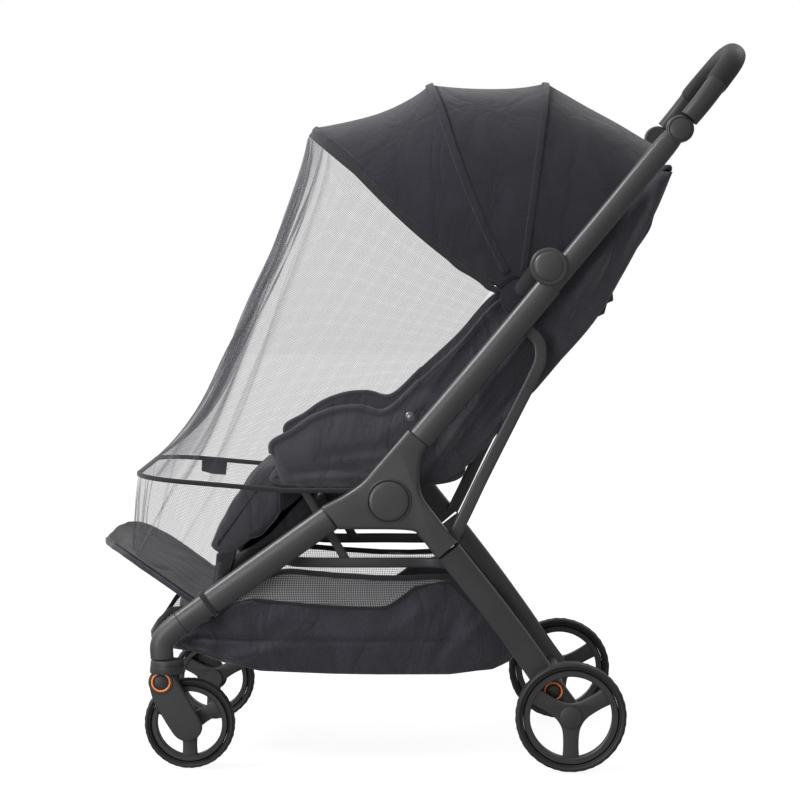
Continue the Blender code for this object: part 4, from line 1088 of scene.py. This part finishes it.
def canopy():
    """Cloth drawn over the bows: between two of them its length dips as 4 s (1 - s)."""
    columns, steps = 150, 30
    hem = math.degrees(HEM_AHEAD / BOWS[0][1])
    angle, length, drop, _ = BOWS[0]
    rows = [arch(angle + hem, length - HEM_INSET, CANOPY_HALF_WIDTH - HEM_INSET, drop, columns)]
    for ahead, behind in zip(BOWS, BOWS[1:]):
        for share in np.linspace(0.0, 1.0, steps, endpoint=False):
            angle, length, drop = (a + (b - a) * share for a, b in zip(ahead[:3], behind[:3]))
            dip = ahead[3] * (4 * share * (1 - share)) ** 0.9
            reach = length - CLOTH_INSET - dip
            rows.append(arch(angle, reach, CANOPY_HALF_WIDTH - CLOTH_INSET, drop, columns))
    angle, length, drop, _ = BOWS[-1]
    rows.append(arch(angle, length - CLOTH_INSET, CANOPY_HALF_WIDTH - CLOTH_INSET, drop, columns))
    grid = np.array(rows)
    share = (np.arange(len(rows)) - 1) / steps % 1.0
    taut = np.sin(np.pi * share)[:, None]
    across = np.linspace(-1.0, 1.0, columns)[None]
    normal = unit(grid - np.array([FAN_FOOT[0], 0.0, FAN_FOOT[1]]))
    uneven = 0.0011 * taut * ripples(grid[..., 1] + 0.7 * grid[..., 0], grid[..., 2], 0.11, 5)
    beside_foot = np.exp(-((np.abs(across) - 0.86) / 0.10) ** 2)
    pulls = 0.0010 * taut**2 * np.sin(across * 46 + 3 * share[:, None]) * beside_foot
    grid = grid + normal * (uneven + pulls)[..., None]
    made = surface("canopy_shell", grid, CANOPY_CLOTH)
    thicken(made, CLOTH_THICK, -1.0)
    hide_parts("canopy_cloth")
    for word, bow, width, thick, lift in (
        ("front", BOWS[0], 0.0120, 0.0060, -0.0030),
        ("middle", BOWS[1], 0.0120, 0.0024, 0.0006),
        ("rear", BOWS[2], 0.0100, 0.0022, 0.0006),
        ("rear_hem", BOWS[3], 0.0090, 0.0030, -0.0004),
    ):
        angle, length, drop, _ = bow
        path = arch(angle, length + lift, CANOPY_HALF_WIDTH + lift, drop, 160)[2:-2]
        heading = math.radians(angle)
        plane = np.array([-math.sin(heading), 0.0, math.cos(heading)])
        up = np.cross(plane, unit(np.gradient(path, axis=0)))
        section = rounded(width, thick, 2.6, 24)
        made = swept(f"canopy_band_{word}", path, section, CANOPY_CLOTH, up, sharp=None)
        for row in (-1, 1) if word in ("middle", "rear") else (1,):
            shift = plane * row * width * 0.32
            stitches(f"canopy_stitch_{word}_{'ab'[row > 0]}", path, up, shift, thick / 2, STITCH_PITCH)
    patch = circle(FAN_FOOT, PATCH_RADIUS, 60)
    for word, side in SIDES:
        inner, outer = (side * y for y in PATCH_Y)
        made = plate(f"canopy_foot_patch_{word}", patch, inner, outer, 0.0008, CANOPY_CLOTH)
        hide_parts("canopy_cloth")
    for name in ("canopy_bow_front", "canopy_bow_middle", "canopy_bow_rear"):
        NODES[name].data.materials.clear()
        NODES[name].data.materials.append(PLASTIC)


def stitches(name, path, up, shift, lift, pitch):
    """A row of stitches: one short low bead for every pitch along the path, joined in one mesh."""
    reach = np.concatenate([[0.0], np.cumsum(np.linalg.norm(np.diff(path, axis=0), axis=1))])
    stops = np.arange(pitch, reach[-1] - pitch, pitch)

    def at_stops(field):
        return np.stack([np.interp(stops, reach, field[:, axis]) for axis in range(3)], 1)

    place = at_stops(path)
    top = unit(at_stops(unit(up)))
    ahead = unit(at_stops(np.gradient(path, axis=0)))
    side = np.cross(ahead, top)
    half, wide, high = pitch * 0.34, STITCH_WIDE, STITCH_HIGH
    foot = [(half, -wide, 0), (half, wide, 0), (-half, wide, 0)]
    bead = np.array([(-half, -wide, 0), (-half * 0.6, 0, high), (half * 0.6, 0, high), *foot])[None]
    points = place[:, None] + shift + top[:, None] * lift + bead[..., :1] * ahead[:, None]
    points = points + bead[..., 1:2] * side[:, None] + bead[..., 2:] * top[:, None]
    # A corner that is named twice makes a triangle
    faces = np.array([(0, 3, 2, 1), (5, 1, 2, 4), (0, 1, 5, 5), (3, 4, 2, 2), (0, 5, 4, 3)])
    faces = (faces[None] + 6 * np.arange(len(stops))[:, None, None]).reshape(-1, 4).tolist()
    mesh = bpy.data.meshes.new(name)
    mesh.from_pydata(points.reshape(-1, 3).tolist(), [], [list(dict.fromkeys(face)) for face in faces])
    face_outward(mesh)
    mesh.uv_layers.new(name="metres")
    mesh.materials.append(TAPE)
    made = bpy.data.objects.new(name, mesh)
    bpy.context.scene.collection.objects.link(made)
    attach(made, "root")


# Seat

# Creases of the seat's sides in the side view: from (x, z) to (x, z), height and width
SIDE_CREASES = (
    (-0.185, 0.432, -0.060, 0.447, -0.0030, 0.007),
    (-0.195, 0.420, -0.100, 0.424, 0.0028, 0.008),
    (-0.150, 0.455, -0.050, 0.470, -0.0022, 0.009),
    (-0.120, 0.437, -0.030, 0.430, -0.0026, 0.006),
    (-0.070, 0.480, -0.020, 0.520, 0.0018, 0.012),
    (0.030, 0.440, 0.120, 0.560, -0.0040, 0.009),
    (0.050, 0.430, 0.150, 0.545, 0.0040, 0.008),
    (0.010, 0.430, 0.090, 0.545, 0.0035, 0.009),
    (0.065, 0.460, 0.165, 0.585, -0.0040, 0.008),
    (0.100, 0.560, 0.200, 0.690, 0.0030, 0.012),
    (0.130, 0.560, 0.230, 0.670, -0.0035, 0.010),
    (0.180, 0.610, 0.280, 0.760, 0.0035, 0.012),
    (0.230, 0.660, 0.330, 0.830, -0.0035, 0.010),
)


def seat_sides():
    """Cloth sides stretched between the seat's edges, puffed out as sin(pi t)^0.45, with creases."""
    lower, upper = curve(SIDE_LOWER, 260), curve(SIDE_UPPER, 260)
    share = np.linspace(0.0, 1.0, 46)
    flat = lower[:, None] + (upper - lower)[:, None] * share[None, :, None]
    x, z = flat[..., 0], flat[..., 1]
    ends = np.clip(np.minimum(np.arange(260), np.arange(260)[::-1]) / 6.0, 0.0, 1.0) ** 0.5
    puff = np.sin(np.pi * np.clip(share, 0.0, 1.0))[None] ** 0.45 * ends[:, None]
    hump = np.exp(-(((x + 0.12) / 0.085) ** 2 + ((z - 0.465) / 0.05) ** 2))
    rise = 3.0 * creases(x, z, SIDE_CREASES) + 0.0020 * ripples(x, z * 0.8, 0.05, 11) + 0.0040 * hump
    inner, outer = SEAT_SIDE_Y
    thick = outer - inner
    for word, side in SIDES:
        y_out = inner + thick * (0.15 + 0.85 * puff) + rise * puff
        y_in = inner + thick * 0.15 - 0.002 * puff
        front = np.stack([x, side * y_out, z], -1)
        back = np.stack([x, side * y_in, z], -1)
        grid = np.concatenate([front, back[:, ::-1][:, 1:-1]], 1)
        made = surface(f"seat_wing_{word}", grid, SEAT_CLOTH, around=True, caps=True, sharp=70)
        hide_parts(f"seat_side_{word}")
        piping = flat_path(curve(SIDE_UPPER[:8], 120), side * (inner + thick * 0.45))
        section = rounded(0.0085, 0.0125, 2.2, 20)
        swept(f"seat_wing_roll_{word}", piping, section, SEAT_CLOTH, sharp=None)
        band = flat_path(curve(SIDE_UPPER[7:11], 90), side * (outer - 0.002))
        section = rounded(0.0060, 0.0080, 2.2, 20)
        swept(f"seat_wing_edge_{word}", band, section, SEAT_CLOTH, sharp=None)


def seat_pads():
    """Cushion, back, leg rest and its lining, each quilted by a sum of soft channels, and their trims."""
    half = SEAT_SIDE_Y[0] - GAP

    def base_quilt(s, y):
        channel = np.exp(-(((y / half) % 0.5 - 0.25) / 0.03) ** 2)
        return 0.0025 * np.cos(np.pi * y / half / 2) - 0.003 * channel

    def back_quilt(s, y):
        rows = np.exp(-(((s * 9.0) % 1.0 - 0.5) / 0.09) ** 2)
        centre = np.exp(-((np.abs(y) - 0.075) / 0.006) ** 2)
        return 0.0025 * np.cos(np.pi * y / half / 2) - 0.0024 * rows - 0.0030 * centre

    outline = curve(SEAT_BASE, 160, True)
    made = prism("seat_cushion", outline, half, 0.009, SEAT_CLOTH, base_quilt)
    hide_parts("seat_base")
    outline = curve(SEAT_BACK, 260, True)
    made = prism("seat_backrest", outline, half, 0.009, BACK_CLOTH, back_quilt)
    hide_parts("seat_back")
    outline = spaced(BACK_CLIP, 60, closed=True)
    for word, side in SIDES:
        inner, outer = (side * y for y in BACK_CLIP_Y)
        plate(f"back_strap_clip_{word}", outline, inner, outer, 0.0012, PLASTIC, 2)

    def calf_quilt(s, y):
        soft = 0.0016 * ripples(s * 0.5 + 0 * y, y + 0 * s, 0.09, 3)
        return soft + 0.002 * np.cos(np.pi * y / LEG_REST_HALF / 2) - 0.002

    outline = curve(LEG_REST, 180, True)
    made = prism("leg_rest_pad", outline, LEG_REST_HALF, 0.012, SEAT_CLOTH, calf_quilt)
    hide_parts("leg_rest")
    outline = curve(REST_GUSSET, 120, True)
    made = prism("leg_rest_lining", outline, LEG_REST_HALF - 0.006, 0.006, BACK_CLOTH)
    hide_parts("leg_rest")
    for word, side in SIDES:
        seam = flat_path(curve(LEG_REST_SEAM, 90), side * (LEG_REST_HALF - 0.0004))
        section = rounded(0.0016, 0.0016, 2.0, 8)
        swept(f"leg_rest_seam_{word}", seam, section, SEAT_CLOTH, sharp=None)


def footrest_height(x, y):
    """Height of the footrest's upper face, worked out from its sections."""
    table = np.array(FOOTREST)
    rim, half, dip = (np.interp(x, table[:, 0], table[:, column]) for column in (1, 2, 3))
    return rim - dip * (1 - np.minimum(np.abs(y) / half, 1.0) ** 4)


# Creases of the footrest from above: from (x, y) to (x, y), height and width
FOOTREST_CREASES = (
    (-0.405, -0.110, -0.385, -0.040, -0.0030, 0.006),
    (-0.425, -0.150, -0.380, -0.120, 0.0020, 0.008),
    (-0.440, 0.020, -0.400, 0.060, -0.0020, 0.010),
    (-0.395, 0.080, -0.370, 0.140, 0.0022, 0.008),
    (-0.360, -0.080, -0.345, 0.080, -0.0020, 0.008),
)


def footrest():
    """Cloth tray: height = rim - dip * (1 - across^4) at each section, with a rolled edge."""
    table = np.array(FOOTREST)
    x, rim = curve(table[:, :2], 110).T
    half = np.interp(x, table[:, 0], table[:, 2])
    dip = np.interp(x, table[:, 0], table[:, 3])
    across = np.linspace(-1.0, 1.0, 91)
    y = half[:, None] * across[None]
    z = rim[:, None] - dip[:, None] * (1 - across[None] ** 4)
    xx = np.broadcast_to(x[:, None], y.shape)
    z = z + creases(xx, y, FOOTREST_CREASES) + 0.0006 * ripples(xx, y, 0.07, 21)
    grid = np.stack([xx, y, z], -1)
    made = surface("footrest_tray", grid, FOOT_CLOTH)
    thicken(made, FOOTREST_THICK - 0.001, -1.0)
    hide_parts("footrest")
    edge = np.concatenate([grid[::-1, 0], grid[0, 1:-1], grid[:, -1]])
    edge = spaced(edge[4:-4], 240) - np.array([0.0, 0.0, 0.0024])
    section = rounded(0.0075, 0.0075, 2.1, 16)
    swept("footrest_edge_roll", edge, section, SEAT_CLOTH, up=(0.0, 0.0, 1.0), sharp=None)
    along = unit(np.array([FRONT_LEG[1][0] - FRONT_LEG[2][0], 0.0, FRONT_LEG[1][1] - FRONT_LEG[2][1]]))
    across = np.array([-along[2], 0.0, along[0]])
    for word, side in SIDES:
        section = rounded(LEG_WIDTH * 0.97 + 0.0030, TUBE_DEPTH * 0.97 + 0.0030, 2.7, 64)
        loop = np.array([STRAP_AT[0], side * TUBE_Y, STRAP_AT[1]]) + section[:, :1] * across
        loop = loop + section[:, 1:] * np.array([0.0, 1.0, 0.0])
        strap = rounded(0.0022, 0.0075, 3.0, 16)
        made = swept(f"footrest_strap_{word}", loop, strap, TAPE, along, closed=True, sharp=None)
        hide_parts(f"leg_strap_{word}")


# Basket


def along_x(table, x):
    """Height at x from a table of (x, height)."""
    table = np.array(table)
    return np.interp(x, table[:, 0], table[:, 1])


# Creases of the basket in the side view: from (x, z) to (x, z), height and width
BAG_CREASES = (
    (-0.330, 0.185, -0.230, 0.182, -0.0026, 0.004),
    (-0.240, 0.181, 0.080, 0.184, -0.0020, 0.003),
    (-0.300, 0.150, -0.200, 0.172, 0.0030, 0.010),
    (-0.230, 0.200, -0.200, 0.232, 0.0022, 0.008),
    (-0.160, 0.145, -0.120, 0.175, -0.0022, 0.010),
    (-0.050, 0.190, 0.010, 0.235, 0.0026, 0.012),
    (0.020, 0.150, 0.060, 0.230, -0.0024, 0.010),
    (0.060, 0.180, 0.090, 0.210, 0.0020, 0.008),
    (-0.370, 0.175, -0.330, 0.195, 0.0020, 0.008),
)


def plan_loop(count=360):
    """Plan of the bag: a squarish superellipse from end to end."""
    turn = whole_turn(count)
    middle, half = sum(BASKET_ENDS) / 2, (BASKET_ENDS[1] - BASKET_ENDS[0]) / 2
    x = middle + half * signed_power(np.cos(turn), 0.36)
    return x, signed_power(np.sin(turn), 0.30)


def bag_rows(low, high, shares, width):
    """Rings of the bag from one height to another at each share of the way; width(share) is half as wide."""
    x, across = plan_loop()
    rows = []
    for share in shares:
        z = low(x) + (high(x) - low(x)) * share
        half = width(share)
        rise = 2.6 * creases(x, z, BAG_CREASES) + 0.0026 * ripples(x, z, 0.07, 31)
        rise = rise * np.clip(np.abs(across) * 1.4 - 0.4, 0.0, 1.0)
        rows.append(np.stack([x, across * half + np.sign(across) * rise, z], -1))
    return rows


def basket():
    """Bag of cloth with a band of open mesh above it and a bound rim."""

    def bottom(x):
        return along_x(BAG_BOTTOM, x)

    def edge(x):
        return np.maximum(along_x(BAG_EDGE, x), bottom(x) + 0.0010)

    def rim(x):
        return np.maximum(along_x(BASKET_RIM, x), edge(x) + 0.0010)

    def bag_width(share):
        return BASKET_HALF * (0.88 + 0.11 * np.sin(np.pi * min(share * 0.9, 0.5)))

    def mesh_width(share):
        return BASKET_HALF * 0.99 * (1 - 0.02 * math.sin(math.pi * share))

    x, across = plan_loop()
    floor = []
    for share in np.linspace(0.04, 1.0, 24):
        reach = BASKET_HALF * 0.86 * share
        floor.append(np.stack([x, across * reach, bottom(x) + 0.004 * share**6], -1))
    wall = bag_rows(bottom, edge, np.linspace(0.05, 1.0, 30), bag_width)
    made = surface("basket_bag", np.array(floor + wall), BAG_CLOTH, around=True, side_uv=True)
    thicken(made, CLOTH_THICK, 0.0)
    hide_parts("basket")
    rows = bag_rows(edge, rim, np.linspace(0.0, 1.0, 14), mesh_width)
    made = surface("basket_mesh_band", np.array(rows), BAG_MESH, around=True, side_uv=True)
    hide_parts("basket")
    up = (0.0, 0.0, 1.0)
    for name, height, section in (
        ("basket_rim", rim, (0.0036, 0.0085)),
        ("basket_bag_edge", edge, (0.0026, 0.0060)),
    ):
        loop = np.stack([x, across * BASKET_HALF * 0.992, height(x)], -1)
        loop = spaced(loop, 320, closed=True)
        made = swept(name, loop, rounded(*section, 2.4, 14), TAPE, up, closed=True, sharp=None)
        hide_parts("basket")


# Net


def hoop_height(x):
    """Height of the hoop, which rises ahead of one place along x."""
    return HOOP_Z + HOOP_RISE * np.maximum(0.0, HOOP_RISE_FROM_X - x)


def rounded_u(rear_x, front_x, half, corner):
    """Plan of a U from its near end round the front to its far end, with round corners."""
    turn = np.linspace(0.0, np.pi / 2, 40)
    arc = np.stack([front_x + corner * (1 - np.sin(turn)), -half + corner * (1 - np.cos(turn))], 1)
    near = np.vstack([[(rear_x, -half)], arc])
    return np.vstack([near, near[::-1] * (1.0, -1.0)])


def hoop_path(rear_x, lift, count):
    """The hoop's line in space from its near end round to its far end, lifted off it."""
    plan = spaced(rounded_u(rear_x, HOOP_FRONT_X, NET_Y, HOOP_CORNER), 600)
    line = np.stack([plan[:, 0], plan[:, 1], hoop_height(plan[:, 0]) + lift], 1)
    return spaced(line, count)


def shifted_arch(shift, count):
    """The front bow's arch moved down and forward, in the net's own direction."""
    heading = math.radians(BOWS[0][0])
    step = np.array([-math.sin(heading), 0.0, math.cos(heading)])
    line = arch(BOWS[0][0], BOWS[0][1] - 0.002, NET_Y + NET_TOP_WIDER, BOWS[0][2], count)
    return line + step * np.asarray(shift).reshape(-1, 1)


def folds(table, u, v):
    """Ridges that run down the net on cubic lines: height, and how gathered the cloth is on them, which
    darkens the net there, partly as painted shade.
    """
    rise, gather_and_shade = np.zeros_like(u), np.zeros_like(u)
    fade = np.sin(np.pi * np.clip(v, 0.0, 1.0)) ** 0.45
    for *line, height, half, dense_and_shade, reach in table:
        middle = np.polyval(np.polyfit(np.linspace(0.0, 1.0, 5), line, 3), v)
        rise += height * np.exp(-(((u - middle) / half) ** 2)) * fade
        gather_and_shade += dense_and_shade * np.exp(-(((u - middle) / reach) ** 2))
    return rise, gather_and_shade


def upper_net():
    """One sheet from the canopy to the hoop: straight lines, less a sag of sin(pi v), plus folds."""
    columns, rows = 420, 110
    top, bottom = shifted_arch(NET_TOP_SHIFT, columns), hoop_path(HOOP_REAR_X, NET_EDGE_LIFT, columns)
    v = np.linspace(0.0, 1.0, rows)[:, None] * np.ones((1, columns))
    u = np.ones((rows, 1)) * np.linspace(0.0, 1.0, columns)[None]
    grid = top[None] + (bottom - top)[None] * v[..., None]
    front = np.exp(-(((u - 0.5) / FRONT_SPREAD) ** 4))
    out = unit(np.stack([-front, np.copysign(1 - front, u - 0.5), np.zeros_like(u)], -1))
    sag = (SIDE_SAG + (FRONT_SAG - SIDE_SAG) * front) * np.sin(np.pi * v)
    pull = np.polyval(np.polyfit(np.linspace(0.0, 1.0, 11), FRONT_PULL, 8), v)
    sag = sag + PULL_SHARE * pull * np.exp(-(((u - 0.5) / PULL_SPREAD) ** 4))
    # The folds' gathering darkens the net, partly as painted shade.
    rise, gather_and_shade = folds(NET_FOLDS, u, v)
    pleats = PLEAT_HEIGHT * np.sin(u * 2 * np.pi * PLEATS) * front * np.sin(np.pi * v) ** 0.5
    grid = grid + out * (rise - sag + pleats)[..., None]
    inside = np.polyval(np.polyfit(np.linspace(0.0, 1.0, 5), GATHERED_FROM, 3), v)
    zone = np.clip((0.5 - np.abs(u - 0.5) - inside) / 0.030, 0.0, 1.0)
    deep = 0.10 + 0.34 * np.clip((v - 0.50) / 0.35, 0.0, 1.0) + 0.25 * np.exp(-v / 0.08)
    patches = 0.10 * ripples(u * 3.0, v * 0.5, 0.14, 61)
    gather_and_shade = gather_and_shade + zone * np.clip(deep + patches, 0.0, 1.0)
    made = surface("net_panel", grid, NET, values={"gather_and_shade": gather_and_shade})
    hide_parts("net_upper")
    bow_reach = np.linalg.norm(top[:, (0, 2)] - np.array(FAN_FOOT), axis=1)
    upper_slit = np.exp(-(((bow_reach - 0.100) / 0.014) ** 2))
    lower_slit = np.exp(-(((bow_reach - 0.050) / 0.008) ** 2))
    slit = 0.0020 * (upper_slit + lower_slit)
    path = shifted_arch(NET_TOP_SHIFT - 2 * GAP - BINDING_WIDTH / 2 + slit, columns)
    heading = math.radians(BOWS[0][0])
    plane = np.array([-math.sin(heading), 0.0, math.cos(heading)])
    up = np.cross(plane, unit(np.gradient(path, axis=0)))
    section = rounded(BINDING_WIDTH, 0.0020, 3.0, 18)
    made = swept("net_top_tape", path, section, TAPE, up, sharp=None)
    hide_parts("net_top_binding")


def skirt():
    """The lower veil, from the hoop to the footrest, hanging loose in soft folds."""
    columns, rows = 320, 60
    top = hoop_path(SKIRT_REAR_X, -NET_EDGE_LIFT, columns)
    plan = spaced(rounded_u(SKIRT_FOOT_REAR_X, SKIRT_FOOT_FRONT_X, SKIRT_FOOT_Y, SKIRT_FOOT_CORNER), columns)
    height = footrest_height(plan[:, 0], plan[:, 1]) + DRAPE_CLEAR
    foot = np.stack([plan[:, 0], plan[:, 1], height], 1)
    v = np.linspace(0.0, 1.0, rows)[:, None] * np.ones((1, columns))
    u = np.ones((rows, 1)) * np.linspace(0.0, 1.0, columns)[None]
    grid = top[None] + (foot - top)[None] * v[..., None]
    front = np.clip((0.27 - np.abs(u - 0.5)) / 0.04, 0.0, 1.0)
    out = unit(np.stack([-front, np.copysign(0.7, u - 0.5), np.zeros_like(u)], -1))
    rise, gather_and_shade = folds(SKIRT_FOLDS, u, v)
    loose = 0.0016 * ripples(u * 1.2, v * 0.12, 0.09, 41) * np.sin(np.pi * v)
    grid = grid + out * (rise + loose)[..., None]
    made = surface("net_veil", grid, NET, values={"gather_and_shade": gather_and_shade})
    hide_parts("net_skirt")


def net_trim():
    """Tape round the hoop, the tab that hangs from it, and the press studs."""
    band = hoop_path(HOOP_REAR_X, 0.0, 300)
    section = rounded(0.0050, 0.0074, 2.6, 20)
    made = swept("net_band", band, section, TAPE, up=(0.0, 0.0, 1.0), sharp=None)
    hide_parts("net_hoop_band")
    face = NET_Y + 0.0028
    outline = spaced(TAB, 60, closed=True)
    made = plate("net_tab", outline, face, face + 0.0014, 0.0005, TAPE, rounds=2)
    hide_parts("net_hoop_tab")
    dome = [
        (0.0, 0.0034), (0.0026, 0.0033), (0.0040, 0.0026), (0.0046, 0.0014), (0.0052, 0.0014),
        (0.0060, 0.0020), (0.0070, 0.0010), (0.0070, 0.0), (0.0, 0.0),
    ]
    for word, side in SIDES:
        ring = standing(dome, side, NET_Y + 0.0009)
        made = turned(f"press_stud_{word}", ring, STUD, METAL, count=40)
        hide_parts(f"net_stud_{word}")


def dress_plain_nodes():
    """Procedural finishes for the CAD nodes that stay in view."""
    for name in ("seat_bar", "rear_axle"):
        NODES[name].data.materials.clear()
        NODES[name].data.materials.append(PLASTIC)


# Studio


def studio():
    """Pale surroundings that are white to the camera, three softboxes and a floor that shows white too."""
    scene = bpy.context.scene
    scene.view_settings.view_transform = "Standard"
    scene.cycles.transparent_max_bounces = 32
    world = bpy.data.worlds.new("studio")
    scene.world = world
    world.use_nodes = True
    tree = world.node_tree
    tree.nodes.clear()
    seen = node(tree, "ShaderNodeBackground", {"Color": (1.0, 1.0, 1.0, 1.0), "Strength": 1.0})
    heading = node(tree, "ShaderNodeTexCoord").outputs["Generated"]
    split = node(tree, "ShaderNodeSeparateXYZ", {0: heading}).outputs
    above = span(tree, split[2], -0.4, 1.0, *SKY)
    left = span(tree, split[0], -1.0, 0.5, SKY_LEFT, 0.0)
    strength = math_node(tree, "ADD", above, left)
    light = node(tree, "ShaderNodeBackground", {"Color": (1.0, 1.0, 1.0, 1.0), "Strength": strength})
    camera_ray = node(tree, "ShaderNodeLightPath").outputs["Is Camera Ray"]
    mixed = node(tree, "ShaderNodeMixShader", {0: camera_ray, 1: light.outputs[0], 2: seen.outputs[0]})
    node(tree, "ShaderNodeOutputWorld", {0: mixed.outputs[0]})
    for name, place, size, energy in LIGHTS:
        data = bpy.data.lights.new(name, "AREA")
        data.size = size
        data.energy = energy
        lamp = bpy.data.objects.new(name, data)
        lamp.location = place
        aim = np.array(LIGHTS_AIM) - np.array(place)
        yaw = math.atan2(aim[0], -aim[1])
        tilt = math.acos(-aim[2] / np.linalg.norm(aim))
        lamp.rotation_euler = (tilt, 0.0, yaw + math.pi)
        scene.collection.objects.link(lamp)
    ticks = np.linspace(-FLOOR_HALF, FLOOR_HALF, 3)
    floor_grid = np.stack([*np.meshgrid(ticks, ticks), np.full((3, 3), FLOOR_Z)], -1)
    mesh = bpy.data.meshes.new("floor")
    index = np.arange(9).reshape(3, 3)
    faces = np.stack([index[:-1, :-1], index[:-1, 1:], index[1:, 1:], index[1:, :-1]], -1).reshape(-1, 4)
    mesh.from_pydata(floor_grid.reshape(-1, 3).tolist(), [], faces.tolist())
    floor = bpy.data.objects.new("floor", mesh)
    scene.collection.objects.link(floor)
    material, tree, shader = new_material("pale floor", 0.9, 0.0, 0.1)
    shader.inputs["Base Color"].default_value = (FLOOR_TONE, FLOOR_TONE, FLOOR_TONE, 1.0)
    shader.inputs["Emission Color"].default_value = (1.0, 1.0, 1.0, 1.0)
    seen = node(tree, "ShaderNodeLightPath").outputs["Is Camera Ray"]
    tree.links.new(span(tree, seen, 0.0, 1.0, FLOOR_GLOW, FLOOR_SEEN), shader.inputs["Emission Strength"])
    mesh.materials.append(material)


studio()
tubes()
housings()
canopy_hubs()
handle()
wheels()
casters()
canopy()
seat_sides()
seat_pads()
footrest()
basket()
upper_net()
skirt()
net_trim()
dress_plain_nodes()
